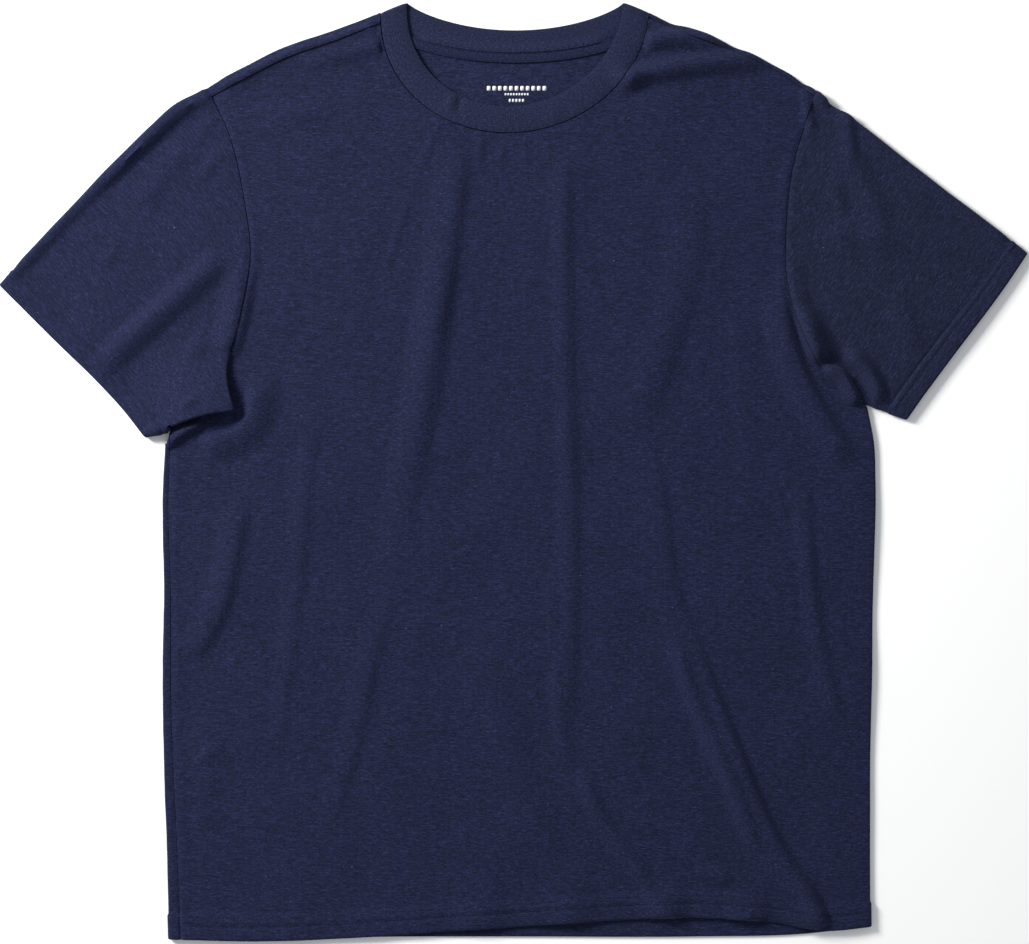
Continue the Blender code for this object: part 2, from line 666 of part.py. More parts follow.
def sleeve(side):
    """A flattened tube from the armhole to the cuff: front layer, back layer and both turned edges."""
    has_lip = side == "right"
    cells = SLEEVE_STATIONS[side]
    half_gap = SEAM_GAP / 2
    armhole = armhole_side(side)
    back_armhole = back_armhole_side(side)
    top_curve = EDGES[side]["sleeve_top"][::-1]
    under_curve = EDGES[side]["sleeve_under"]
    cuff_curve = between(CUFF_INNER[side], CUFF_BY[side][::-1], CUFF_OUTER[side])
    if has_lip:
        shared_seam = armhole[LIP_FROM:]
        lip_edge = evenly(smooth_curve([LIP_TIP, *LIP_EDGE_BY[::-1], shared_seam[0]]), LIP_CELLS)
        armhole = run_on(lip_edge, shared_seam)
        tube_under = sleeve_stations(under_curve, 1)
        lip_under = evenly(smooth_curve([NOTCH, *LIP_UNDER_BY, LIP_TIP]), LIP_STATIONS)
        under = run_on(tube_under, lip_under)
        back_end = evenly(smooth_curve([NOTCH, BACK_SEAM_BEND]), LIP_STATIONS)
        under_back = run_on(tube_under, back_end)
        tube_stations = len(tube_under)
    else:
        under = sleeve_stations(under_curve, cells)
        under_back = under
        tube_stations = len(under)
    top = sleeve_stations(top_curve, len(under) - 3)
    cuff = evenly(cuff_curve, len(armhole) - 1)
    cuff_back = evenly(cuff_curve, len(back_armhole) - 1)

    under_insets = np.full(len(under), FOLD_INSET)
    under_back_insets = under_insets.copy()
    under_back_insets[tube_stations:] = half_gap

    def layer(seam, cuff_line, under_line, top_inset, line_insets):
        sides = [
            Side(seam, half_gap if has_lip else seam_insets(seam)),
            Side(top[::-1], top_inset),
            Side(cuff_line[::-1], 0.0),
            Side(under_line, line_insets),
        ]
        moved_seam, moved_top, moved_cuff, moved_under = inset_outline(sides)
        return moved_seam, moved_top[::-1], moved_cuff[::-1], moved_under

    seam, top_in, cuff_in, under_in = layer(armhole, cuff, under, FOLD_INSET, under_insets)
    plan = fill_from_hem(cuff_in, top_in, seam, under_in, 2)
    walls = panel_walls(len(plan), 2)[:, None]
    heights = front_height(plan, walls)
    if has_lip:
        heights = heights + lip_lift(plan)
    cloth = Cloth()
    front = cloth.add(raised(plan, heights), walls)
    cloth.weave(front)

    back_lines = layer(back_armhole, cuff_back, under_back, FOLD_INSET, under_back_insets)
    seam_back, top_back, cuff_back_in, under_back_in = back_lines
    plan_back = fill_from_hem(cuff_back_in, top_back, seam_back, under_back_in, 2)
    back = cloth.add(raised(plan_back, walls / 2), walls)
    cloth.weave(back)

    crest_insets = np.full(len(under), CLOTH_WALL / 2)
    _, top_crest, _, under_crest = layer(armhole, cuff, under, CLOTH_WALL / 2, crest_insets)
    cloth.turn(front[:, -1], back[:, -1], top_crest)
    cloth.turn(front[:tube_stations, 0], back[:tube_stations, 0], under_crest[:tube_stations])
    if has_lip:
        add_lip_return(cloth, front, tube_stations)
    return cloth


def add_lip_return(cloth, front, tube_stations):
    """Turns the lip's edge under, from its lower edge round the tip and up beside the armhole."""
    along_under = front[tube_stations + 1 :, 0]
    beside_seam = front[-1, 1:LIP_CELLS]
    upper = np.concatenate([along_under, beside_seam])
    edge = np.array([cloth.points[k] for k in upper])[:, :2]
    outwards = np.gradient(edge, axis=0)
    outwards = np.column_stack([outwards[:, 1], -outwards[:, 0]])
    outwards /= np.linalg.norm(outwards, axis=1)[:, None]
    floor = 2 * CLOTH_WALL + LAYER_GAP + CLOTH_WALL / 2 + RETURN_CLEARANCE
    lower = cloth.add(raised(edge, floor), CLOTH_WALL)
    cloth.turn(upper, lower, edge + outwards * FOLD_RADIUS)
    end = edge + (np.array(LIP_HEART) - edge) * LIP_RETURN_SHARE
    cloth.weave([lower, cloth.add(raised(end, floor), CLOTH_WALL)])


def neckband():
    """A rib tube one band wide, flattened: its front half lies over its back half."""
    half_gap = SEAM_GAP / 2
    tip_inset = BAND_TURN + BAND_WALL / 2
    tips = {side: evenly(smooth_curve([NECK_POINT[side], BAND_TIP[side]]), BAND_CELLS) for side in EDGES}

    def layer(seam_edge, rim_edge, cells, inset):
        sides = [
            Side(evenly(neck_curve(seam_edge), cells), half_gap),
            Side(tips["left"], inset),
            Side(evenly(neck_curve(rim_edge), cells)[::-1], 0.0),
            Side(tips["right"][::-1], inset),
        ]
        seam, left_tip, rim, right_tip = inset_outline(sides)
        return fill(seam, left_tip, rim[::-1], right_tip[::-1])

    cloth = Cloth()
    plan = layer(FRONT_SEAM, FRONT_RIM, NECK_CELLS, tip_inset)
    sinks_from, lies_at = BAND_SINKS
    down = smoothstep((sinks_from - plan[..., 1]) / (sinks_from - lies_at))
    front = cloth.add(raised(plan, BAND_OVER_TAPE + (BAND_AT_MIDDLE - BAND_OVER_TAPE) * down), BAND_WALL)
    cloth.weave(front)
    plan_back = layer(BACK_SEAM, BACK_RIM, BACK_NECK_CELLS, tip_inset)
    back = cloth.add(raised(plan_back, BAND_WALL / 2), BAND_WALL)
    cloth.weave(back)
    crest = layer(FRONT_SEAM, FRONT_RIM, NECK_CELLS, BAND_WALL / 2)
    for column in (0, -1):
        cloth.turn(front[:, column], back[:, column], crest[:, column], BAND_TURN)
    return cloth


def neck_tape():
    """A strip that covers the back neck seam inside the shirt, up to just under the band's front half."""
    curve = neck_curve(TAPE_TOP)
    reached = travelled(curve)
    ends = np.interp((-TAPE_HALF_LENGTH, TAPE_HALF_LENGTH), curve[:, 0], reached)
    upper = at_distances(curve, np.linspace(ends[0], ends[1], TAPE_CELLS + 1))
    steps = np.gradient(upper, axis=0)
    steps /= np.linalg.norm(steps, axis=1)[:, None]
    lower = upper + TAPE_WIDTH * np.column_stack([steps[:, 1], -steps[:, 0]])
    height = CLOTH_WALL + 0.3 + TAPE_WALL / 2
    cloth = Cloth()
    cloth.weave([cloth.add(raised(line, height), TAPE_WALL) for line in (lower, upper)])
    return cloth


def clear_scene():
    for item in list(bpy.data.objects):
        bpy.data.objects.remove(item, do_unlink=True)


def build():
    clear_scene()
    jersey = cloth_material("jersey", JERSEY, 0.92)
    rib = cloth_material("rib", RIB, 0.9)
    tape = cloth_material("tape", TAPE, 0.85)
    pieces = [
        thicken(front_panel(), "front_panel", jersey),
        thicken(back_panel(), "back_panel", jersey),
        thicken(sleeve("right"), "right_sleeve", jersey),
        thicken(sleeve("left"), "left_sleeve", jersey),
        thicken(neckband(), "neckband", rib),
        thicken(neck_tape(), "neck_tape", tape),
    ]
    garment = bpy.data.objects.new("t_shirt", None)
    bpy.context.scene.collection.objects.link(garment)
    for piece in pieces:
        piece.parent = garment


build()
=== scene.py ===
"""Looks of the crew neck T-shirt, men's size L, laid flat on its back with the front panel up.

Each cloth piece is worked out again from the shirt's own sizes on a finer grid than its solid, with
the small creases, seams and stitching that the solid leaves out.
Tables and lengths are in millimetres. +X is the wearer's left, +Y the neck, +Z up, and the shirt
rests on Z = 0. "right" and "left" are the wearer's.
"""

from collections import namedtuple
import json
import math

import bmesh
import bpy
import numpy as np
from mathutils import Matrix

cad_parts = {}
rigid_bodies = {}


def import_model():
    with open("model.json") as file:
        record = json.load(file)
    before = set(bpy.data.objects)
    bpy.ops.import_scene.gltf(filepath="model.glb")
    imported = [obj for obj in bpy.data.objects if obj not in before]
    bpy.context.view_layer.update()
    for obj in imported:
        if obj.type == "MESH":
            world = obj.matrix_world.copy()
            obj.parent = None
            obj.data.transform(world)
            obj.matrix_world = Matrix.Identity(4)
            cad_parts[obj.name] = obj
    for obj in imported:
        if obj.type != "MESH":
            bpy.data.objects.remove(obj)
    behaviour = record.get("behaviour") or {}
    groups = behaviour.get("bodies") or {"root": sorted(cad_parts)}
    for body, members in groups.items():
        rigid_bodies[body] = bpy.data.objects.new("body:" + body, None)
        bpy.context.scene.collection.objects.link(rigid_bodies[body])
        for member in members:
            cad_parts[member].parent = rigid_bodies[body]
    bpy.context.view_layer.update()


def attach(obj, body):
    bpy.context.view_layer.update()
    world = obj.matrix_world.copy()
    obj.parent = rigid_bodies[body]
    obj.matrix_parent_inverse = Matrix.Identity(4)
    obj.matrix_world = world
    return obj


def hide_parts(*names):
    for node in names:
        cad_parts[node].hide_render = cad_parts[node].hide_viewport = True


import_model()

MM = 0.001

# Cloth walls and the air between them
CLOTH_WALL = 1.2
HEM_WALL = 2.0  # the hem's cloth is turned up and lies double
BAND_WALL = 1.8
TAPE_WALL = 1.0
SEAM_GAP = 0.5  # between two pieces at the seam that joins them
HALF_GAP = SEAM_GAP / 2
LEFT_SHOULDER_GAP = 0.95
UNDERARM_INSET = 0.25  # of each piece from the underarm point, where its turned edge faces the others'
UNDERARM_REACH = 16.0
TIP_INSET = 0.05  # of each piece where a seam runs out at the edge of the shirt
TIP_REACH = 12.0
# How far the right sleeve stands over the panel, and the panel over the left sleeve
ARMHOLE_STANDS = {"armhole_right": 0.7, "armhole_left": 0.6}
ARMHOLE_STAND_REACH = 5.0
HIDDEN_INSET = 0.06  # of each piece at the back seam that the lip covers
CORNER_FOLD_INSET = 0.85  # where the right flank's turned edge ends at the underarm
LAYER_GAP = 0.6  # between the back layer and the front layer that lies on it
FOLD_RADIUS = 1.2  # of the wall's middle, where cloth turns round an edge
FOLD_INSET = FOLD_RADIUS + CLOTH_WALL / 2  # from the outline in to where that turn begins
EDGE_REACH = 14.0  # how far the lift of a turned edge fades into the panel
SLEEVE_LOOP = 3.2  # how far a sleeve's loose top edge stands above that
LOOP_REACH = 9.0
LOOP_FADE = 30.0

SIDES = ("right", "left")

# Hems
BODY_HEM = 17.5
CUFF_HEM = 13.5
HEM_STEP = 2.0

# How far the back panel comes over to the front, and the front panel under to the back
SHOULDER_ROLL = {"right": 7.8, "left": 3.4}
SIDE_ROLL_RIGHT = (9.3, 3.7)  # at the hem, at the underarm
SIDE_ROLL_LEFT = 6.5

# Cells across each piece, FINE of them for one cell of the solids
FINE = 6
SHOULDER_CELLS = 8 * FINE
NECK_CELLS = 20 * FINE
BACK_NECK_CELLS = 10 * FINE
SIDE_CELLS = 20 * FINE
ARMHOLE_CELLS = 13 * FINE
BACK_ARMHOLE_CELLS = {"right": 7 * FINE, "left": 9 * FINE}
BAND_CELLS = 12
TAPE_CELLS = 14 * FINE
LIP_CELLS = 5 * FINE
LIP_STATIONS = 7 * FINE
LEFT_SLEEVE_CELLS = 9 * FINE
HEM_CELLS = 12
HEM_ROWS = HEM_CELLS + 1  # with the step to the single cloth
SIDE_ROWS = HEM_ROWS + SIDE_CELLS + 1
TURN_CELLS = 8
STRIP_ROWS = 5  # between a shoulder's or a flank's turned edge and its seam
# How far those strips stand over the front panel's edge at the seam
STRIP_STANDS = {"shoulder_left": 0.8, "shoulder_right": 0.9, "flank_right": 0.2}
PANEL_GRIP = 8.0
SHOULDER_SHARE = 0.18  # of the hem's width, that the columns ending on one shoulder take

# Outline corners: x, y
HEM_CORNER = {"right": (-272, -369), "left": (282, -359)}
UNDERARM = {"right": (-275, 17), "left": (279, 52)}
SHOULDER_TIP = {"right": (-242, 302.6), "left": (238, 299)}
NECK_POINT_Y = 361.8
BAND_TIP_Y = 370.4
NECK_POINT = {"right": (-104.7, NECK_POINT_Y), "left": (107, NECK_POINT_Y)}
BAND_TIP = {"right": (-83.5, BAND_TIP_Y), "left": (86.5, BAND_TIP_Y)}
CUFF_OUTER = {"right": (-405, 147), "left": (405, 172)}
CUFF_INNER = {"right": (-291, 28), "left": (310, 41)}

# Edges between those corners, each a smooth curve: the points that it passes on its way
SIDE_BY = {
    "right": ((-273, -323), (-277, -181), (-276, -100), (-277, -20)),
    "left": ((282, -228), (285, -60), (286, -8), (285, 20)),
}
SHOULDER_BY = {
    "right": ((-220, 314), (-182, 333), (-142, 347)),
    "left": ((218, 314), (177, 333), (139, 347)),
}
FRONT_HEM_BY = (
    (-200, -370.4), (-114, -367), (-45, -362), (5, -359),
    (80, -354), (150, -352), (207, -356), (245, -362),
)
BACK_HEM_BY = ((-200, -370.4), (-114, -367.5), (-11, -367), (147, -367), (228, -365))
ARMHOLE_BY = {
    "right": (
        (-226, 269), (-213, 215), (-208, 170), (-213, 135),
        (-223, 96), (-238, 66), (-253, 44), (-268, 35),
    ),
    "left": ((231, 277), (221, 243), (215, 190), (216, 150), (226, 115), (244, 80)),
}
BACK_ARMHOLE_BY = {
    "right": ((-229, 261), (-217, 198), (-222, 130)),
    "left": ((228, 261), (219, 198), (222, 140), (246, 82)),
}
SLEEVE_TOP_BY = {
    "right": ((-262, 291), (-285, 271), (-342, 214)),
    "left": ((251, 288), (275, 271), (307, 246), (354, 210)),
}
CUFF_BY = {
    "right": ((-361, 103), (-329, 72), (-306, 47)),
    "left": ((391, 151), (344, 88), (319, 54)),
}

# The right sleeve's slack at the underarm lies over the body as a lip, from the seam round its tip
LIP_TIP = (-220.5, 47)
LIP_HEART = (-246, 74)  # what its turned edge points to
LIP_FROM = 4 * FINE  # the armhole point where it leaves the seam, counted from the underarm
LIP_EDGE_BY = ((-227, 81), (-225, 64))
LIP_UNDER_BY = ((-249, 42), (-236, 45))
NOTCH = (-271, 34)
BACK_SEAM_BEND = (-243, 77)  # the back armhole runs straight from the notch to here
LIP_HEIGHT = 13.0
LIP_HIGHEST = (-240, 42)
LIP_REACH = 75.0
LIP_RETURN_SHARE = 0.3
RETURN_CLEARANCE = 0.4
LEAST_RETURN = 0.1  # of the turn's width, where the lip runs out into the seam

# The rims of the cloth walls
THICK_WALL = CLOTH_WALL + 0.02  # from here up a wall is double cloth, with a round rim
RIM_ROUND = 0.85  # how far such a rim stands out, as a share of half its wall
SEAM_ROUND = 0.04  # and any other rim, which is all but square
CUT_EDGE_ANGLE = 65  # degrees: past it an edge is shaded sharp, as the cut edges at the seams are
PLACE_ATTRIBUTE = "cloth_place"

# Neck edges, half ellipses between the neck points: half width, depth, start y, middle x, lean, fullness
NeckEdge = namedtuple("NeckEdge", "half_width depth start_y middle_x lean fullness")
FRONT_SEAM = NeckEdge(105.85, 95, NECK_POINT_Y, 1.15, -6.0, 0.50)
FRONT_RIM = NeckEdge(85.0, 82, BAND_TIP_Y, 1.5, -6.5, 0.50)
BACK_SEAM = NeckEdge(105.85, 32, NECK_POINT_Y, 1.15, 0.0, 0.57)
BACK_RIM = NeckEdge(85.0, 21.5, BAND_TIP_Y, 1.5, 0.0, 0.80)
TAPE_TOP = NeckEdge(105.0, 32, NECK_POINT_Y + 0.8, 1.15, 0.0, 0.57)
BAND_WIDTH = 21.0
BAND_SEAM_INSET = 0.3
BAND_RIM_INSET = 0.7
BAND_CROWN = 0.5
BAND_THINS = 0.45
BAND_LOFT = 0.9
BAND_STAND = 2.2  # how far the back half's seam edge stands up over the tape
BAND_STANDS_TO = 66.0  # from the middle out, before the front half covers it
BAND_STAND_FADE = 11.0
BAND_BELOW = 0.3  # of its seam edge under the front panel's, where that stands higher than the band
TAPE_WIDTH = 8.0
TAPE_HALF_LENGTH = 80.0
TAPE_LIFT = 0.5  # of its underside above the back panel
TAPE_ROWS = 5
TAPE_CROWN = 0.25
TAPE_STITCH_CELLS = 89

# Height of the front half of the band over its length: crossing the tape, then down on the back panel
BAND_CLEAR = 0.3  # over and under the tape
BAND_OVER_TAPE = CLOTH_WALL + BAND_CLEAR + TAPE_WALL + BAND_CLEAR + BAND_WALL / 2
BAND_AT_MIDDLE = CLOTH_WALL + BAND_CLEAR + BAND_WALL / 2
BAND_TURN = (BAND_OVER_TAPE - BAND_WALL / 2) / 2
BAND_SINKS = (328, 300)  # y where it starts down, and where it lies down

# Folds: height, width down each side of the crest (to the left and right of its path), lengths over
# which it fades in and out, and the points that the crest runs through
Fold = namedtuple("Fold", "height left right fade_in fade_out path")
FOLDS = (
    # the long fold from the neckband down to the right of the hem
    Fold(2.9, 12, 26, 50, 90, ((-41, 267), (-45, 225), (-56, 143), (-69, 70))),
    Fold(3.6, 17, 22, 80, 180, ((-51, 190), (-58, 143), (-69, 70), (-85, -20), (-98, -110))),
    Fold(1.8, 10, 16, 90, 120, ((-92, -80), (-113, -150), (-121, -192), (-136, -249), (-160, -322))),
    # its narrow companion down the middle, which splits above the hem
    Fold(2.0, 10, 13, 50, 130, ((39, 262), (41, 102), (45, -36), (45, -118), (47, -228), (64, -262))),
    Fold(1.1, 8, 8, 60, 60, ((30, -60), (32, -120), (36, -200), (46, -262))),
    Fold(1.2, 20, 26, 60, 60, ((-30, -130), (-8, -200), (16, -262), (42, -322))),
    # from the left of the neck, soft, down to the crease that runs to the left of the hem
    Fold(1.7, 16, 26, 60, 70, ((146, 243), (141, 184), (130, 127), (107, 62), (90, 10))),
    Fold(
        1.7, 8, 24, 90, 12,
        ((101, 52), (115, -17), (129, -104), (147, -148), (174, -217), (201, -281), (245, -357)),
    ),
    Fold(
        3.2, 7, 26, 140, 8,
        ((129, -104), (147, -148), (174, -217), (201, -281), (217, -310), (233, -332), (245, -360)),
    ),
    Fold(3.4, 9, 10, 50, 30, ((124, -116), (132, -150), (143, -182), (169, -241), (183, -277), (196, -309))),
    Fold(2.4, 7, 14, 60, 3, ((214, -304), (233, -332), (245, -360))),
    # left flank
    Fold(2.3, 9, 11, 60, 70, ((227, 6), (231, -53), (238, -118), (248, -167), (264, -224))),
    # low at the middle of the hem
    Fold(3.4, 8, 12, 30, 30, ((50, -232), (74, -280), (94, -306), (118, -334))),
    Fold(3.0, 8, 9, 20, 12, ((140, -314), (158, -318), (176, -324))),
    # right flank
    Fold(2.8, 10, 20, 40, 20, ((-214, -10), (-220, -60), (-233, -112), (-256, -152))),
    Fold(1.3, 9, 13, 60, 100, ((-151, 62), (-163, 4), (-169, -69), (-179, -159), (-190, -249))),
    Fold(1.2, 8, 7, 10, 14, ((-226, -213), (-241, -223), (-258, -231))),
    # shoulders: a ridge along each seam and one below it, with the hollow between
    Fold(3.4, 8, 8, 16, 8, ((-238, 300), (-216, 310), (-184, 326), (-160, 335), (-140, 341), (-106, 352))),
    Fold(3.6, 9, 11, 60, 4, ((-190, 315), (-160, 324), (-130, 331), (-104, 337))),
    Fold(1.6, 14, 13, 30, 30, ((-204, 270), (-168, 282), (-128, 287))),
    Fold(7.2, 11, 10, 8, 34, ((102, 338), (121, 341), (150, 340), (182, 330))),
    Fold(8.4, 11, 12, 16, 40, ((78, 303), (100, 313), (125, 318), (166, 323), (207, 320))),
    # from the left armhole down into the flank
    Fold(4.6, 10, 20, 40, 24, ((206, 156), (214, 114), (231, 66), (250, 33), (270, 4))),
    # waves of the hem
    Fold(2.8, 26, 24, 6, 60, ((-24, -364), (-27, -300))),
    Fold(3.4, 26, 24, 6, 60, ((46, -360), (44, -300))),
    Fold(5.0, 22, 20, 3, 40, ((121, -353), (119, -312))),
    Fold(4.8, 22, 22, 3, 44, ((186, -355), (183, -312))),
    # across the right sleeve from the armhole towards the cuff's lower corner
    Fold(4.9, 16, 14, 26, 40, ((-221, 176), (-247, 154), (-283, 122), (-318, 90), (-336, 72))),
    Fold(1.6, 14, 14, 20, 30, ((-250, 262), (-275, 236), (-300, 200))),
    Fold(1.6, 12, 10, 20, 24, ((-236, 122), (-250, 98), (-264, 78))),
    # along the right armhole seam, which stands up above the underarm
    Fold(4.8, 14, 18, 60, 14, ((-213, 190), (-215, 152), (-220, 120), (-230, 88))),
    # the body round the slack that the right sleeve lays over it
    Fold(5.2, 8, 22, 16, 24, ((-250, 26), (-236, 26), (-221, 29), (-209, 40), (-205, 58), (-206, 78))),
    # beside the left armhole seam, then the two pinched lobes at the underarm
    Fold(4.6, 13, 9, 70, 12, ((219, 182), (222, 150), (230, 118), (237, 98), (242, 86))),
    Fold(7.2, 19, 8, 26, 8, ((226, 134), (231, 114), (238, 96), (243, 84))),
    Fold(7.0, 5, 9, 8, 4, ((243, 78), (252, 80), (260, 75), (266, 65), (272, 53))),
    Fold(6.4, 10, 8, 12, 14, ((258, 90), (267, 90), (276, 83), (284, 70), (291, 50))),
    Fold(2.6, 22, 16, 40, 60, ((242, 196), (290, 184), (353, 173))),
    Fold(2.2, 14, 15, 30, 40, ((250, 262), (272, 236), (286, 200), (292, 160))),
    Fold(2.0, 12, 14, 30, 40, ((300, 150), (312, 110), (318, 78))),
)

# Creases too fine for the solids, in the same columns
CREASES = (
    # short puckers that hang from the front neck seam
    Fold(1.0, 5, 4, 4, 16, ((-25, 266), (-27, 252), (-30, 236))),
    Fold(0.8, 4, 4, 4, 14, ((-9, 263), (-9, 250), (-11, 234))),
    Fold(1.0, 4, 4, 4, 16, ((9, 264), (9, 248), (10, 230))),
    Fold(0.8, 5, 4, 4, 14, ((25, 266), (26, 254), (28, 240))),
    Fold(0.8, 5, 4, 4, 20, ((-58, 276), (-66, 258), (-74, 234))),
    Fold(0.7, 5, 5, 10, 30, ((-80, 220), (-94, 180), (-104, 140))),
    # right sleeve cap, with the loop of cloth along its turned edge
    Fold(
        3.2, 7, 4, 3, 60,
        ((-239, 299), (-252, 291), (-264, 284), (-282, 268), (-300, 250), (-322, 229), (-343, 208)),
    ),
    Fold(1.6, 7, 6, 10, 14, ((-236, 284), (-243, 272), (-252, 258))),
    Fold(1.5, 7, 7, 10, 16, ((-228, 256), (-240, 240), (-254, 226))),
    Fold(1.6, 6, 6, 6, 10, ((-262, 47), (-254, 55), (-243, 58))),
    Fold(0.8, 7, 6, 12, 20, ((-308, 188), (-318, 172), (-328, 152))),
    # left shoulder tip, where the body's seam stands over the head of the sleeve
    Fold(4.5, 6, 6, 4, 5, ((226, 300), (238, 295.5), (250, 288.5))),
    # left sleeve cap
    Fold(3.0, 5, 6, 6, 16, ((232, 294), (233, 278), (238, 262))),
    Fold(3.0, 7, 10, 12, 20, ((261, 286), (265, 262), (269, 238))),
    Fold(1.8, 7, 8, 10, 14, ((251, 230), (256, 215), (262, 200))),
    Fold(1.0, 9, 8, 10, 20, ((252, 196), (262, 178), (276, 166))),
    # the armpit's edge, rolled up beside the right side seam
    Fold(6.0, 6, 4.5, 14, 8, ((-276, 15), (-268, 25), (-256, 33), (-243, 38))),
    # the left side seam, drawn in below the underarm
    Fold(1.0, 5, 4, 6, 6, ((283, -2), (274, -6), (262, -14))),
    Fold(0.8, 4, 4, 6, 6, ((284, -12), (276, -16), (266, -24))),
    # traces of the way that it was folded
    Fold(0.6, 12, 10, 60, 60, ((-240, -190), (-243, -250), (-250, -310))),
    Fold(0.6, 14, 10, 60, 60, ((176, 150), (180, 60), (186, -40))),
)

BAND_CREASES = (
    Fold(-1.3, 3.5, 3.0, 1, 8, ((-42, 296), (-43, 290), (-45, 279))),
    Fold(0.9, 6, 5, 2, 8, ((-48, 298), (-50, 291), (-52, 282))),
    Fold(0.5, 9, 7, 3, 8, ((30, 291), (31, 282), (32, 272))),
)

BODY_LOFT = 0.7  # the air under the middle of the front layer
SINK = 0.5  # the most that a groove goes below the plain layer
WAVE_COUNT = 26
WAVE_LENGTHS = (28.0, 120.0)
WAVE_HEIGHT = 0.7
WAVE_HEADING = 0.55  # radians: how far from straight across the waves mostly travel
WAVE_SEED = 11
# Grooves along the seams; at the neck the panel rises
GROOVE_HEIGHTS = {
    "armhole_right": -0.8,
    "armhole_left": -0.8,
    "shoulder_right": -0.8,
    "shoulder_left": -1.2,
    "flank_right": -0.55,
    "neck": 0.5,
}
GROOVE_WIDTH = 2.4
RIDGE_HEIGHT = 0.35
RIDGE_AT = 5.0
RIDGE_WIDTH = 3.5
STITCH_GROOVE_DEPTH = 0.7
STITCH_GROOVE_WIDTH = 2.4
PUCKER_REACH = 13.0
PUCKER_HEIGHT = 0.09
PUCKER_WAVES = ((2, 2.9), (1, 4.7), (0, 7.9))  # shift from seam to seam, millimetres for each radian

CURVE_STEPS = 16
CORNER_CLEAR = 0.05  # between an inset side's corner and the first of its points that is kept
BEND_ANGLE = 15  # degrees: a side that turns by more at one of its points has a bend there
LEAST_CORNER = 0.15  # the sine of the least turn between two sides that is mended as a corner
LEAST_MITER = 0.5  # so that a side's point moves at most twice its inset
NECK_CURVE_POINTS = 121
TINY = 1e-9


def smoothstep(value):
    value = np.clip(value, 0.0, 1.0)
    return value * value * (3.0 - 2.0 * value)


def unit(vectors):
    return vectors / np.linalg.norm(vectors, axis=1)[:, None]


def leftwards(steps):
    """Unit vectors that point to the left of each step."""
    steps = unit(steps)
    return np.column_stack([-steps[:, 1], steps[:, 0]])


def smooth_curve(points):
    """A smooth curve through the points, as a dense polyline."""
    points = np.asarray(points, float)
    chords = np.linalg.norm(np.diff(points, axis=0), axis=1)
    slopes = np.diff(points, axis=0) / chords[:, None]
    tangents = np.vstack([slopes[:1], slopes])
    for k in range(1, len(points) - 1):
        tangents[k] = (slopes[k - 1] * chords[k] + slopes[k] * chords[k - 1]) / (chords[k - 1] + chords[k])
    tangents[-1] = slopes[-1]
    share = np.linspace(0.0, 1.0, CURVE_STEPS, endpoint=False)[:, None]
    stretches = []
    for k, chord in enumerate(chords):
        start, end = points[k], points[k + 1]
        stretches.append(
            start * (2 * share**3 - 3 * share**2 + 1)
            + end * (3 * share**2 - 2 * share**3)
            + tangents[k] * chord * (share**3 - 2 * share**2 + share)
            + tangents[k + 1] * chord * (share**3 - share**2)
        )
    return np.vstack(stretches + [points[-1:]])


def neck_curve(edge):
    """A neck edge from the right neck point to the left one."""
    turn = np.linspace(0.0, math.pi, NECK_CURVE_POINTS)
    share = np.sin(turn) ** (2 * edge.fullness)
    x = edge.middle_x + edge.lean * share - edge.half_width * np.cos(turn)
    return np.column_stack([x, edge.start_y - edge.depth * share])


def travelled(curve):
    return np.concatenate([[0.0], np.cumsum(np.linalg.norm(np.diff(curve, axis=0), axis=1))])


def at_distances(curve, distances):
    """The curve's points at these distances from its start."""
    reached = travelled(curve)
    return np.column_stack([np.interp(distances, reached, curve[:, k]) for k in (0, 1)])


def evenly(curve, cells):
    return at_distances(curve, np.linspace(0.0, travelled(curve)[-1], cells + 1))


def hem_first(curve, hem, cells):
    """Points along a curve that starts at a hem: the hem, its inner step, then even cells."""
    length = travelled(curve)[-1]
    beyond = np.linspace(hem + HEM_STEP, length, cells + 1)
    return at_distances(curve, np.concatenate([np.linspace(0.0, hem, HEM_CELLS + 1), beyond]))


def between(corner_from, by, corner_to):
    return smooth_curve([corner_from, *by, corner_to])


def run_on(*curves):
    """Curves that follow each other, as one list of points."""
    return np.vstack([curves[0]] + [curve[1:] for curve in curves[1:]])


Side = namedtuple("Side", "points inset")


def cut_to_corners(moved, points, first_corner, last_corner):
    """An inset side, cut back or run on to its two corners, with its points spread as before."""
    reached = travelled(moved)
    half = len(moved) // 2
    start = distance_to(first_corner[None], moved[: half + 1])[2][0]
    end = reached[half] + distance_to(last_corner[None], moved[half:])[2][0]
    stays = (reached > start + CORNER_CLEAR) & (reached < end - CORNER_CLEAR)
    line = np.vstack([first_corner[None], moved[stays], last_corner[None]])
    share = travelled(points) / travelled(points)[-1]
    # bends keep their own points, and the rest are spread between them
    steps = unit(np.diff(points, axis=0))
    turn_cosines = np.sum(steps[1:] * steps[:-1], axis=1)
    bends = 1 + np.flatnonzero(turn_cosines < math.cos(math.radians(BEND_ANGLE)))
    bends = bends[stays[bends]]
    held = distance_to(moved[bends], line)[2]
    places = np.interp(share, [0.0, *share[bends], 1.0], [0.0, *held, travelled(line)[-1]])
    return at_distances(line, places)


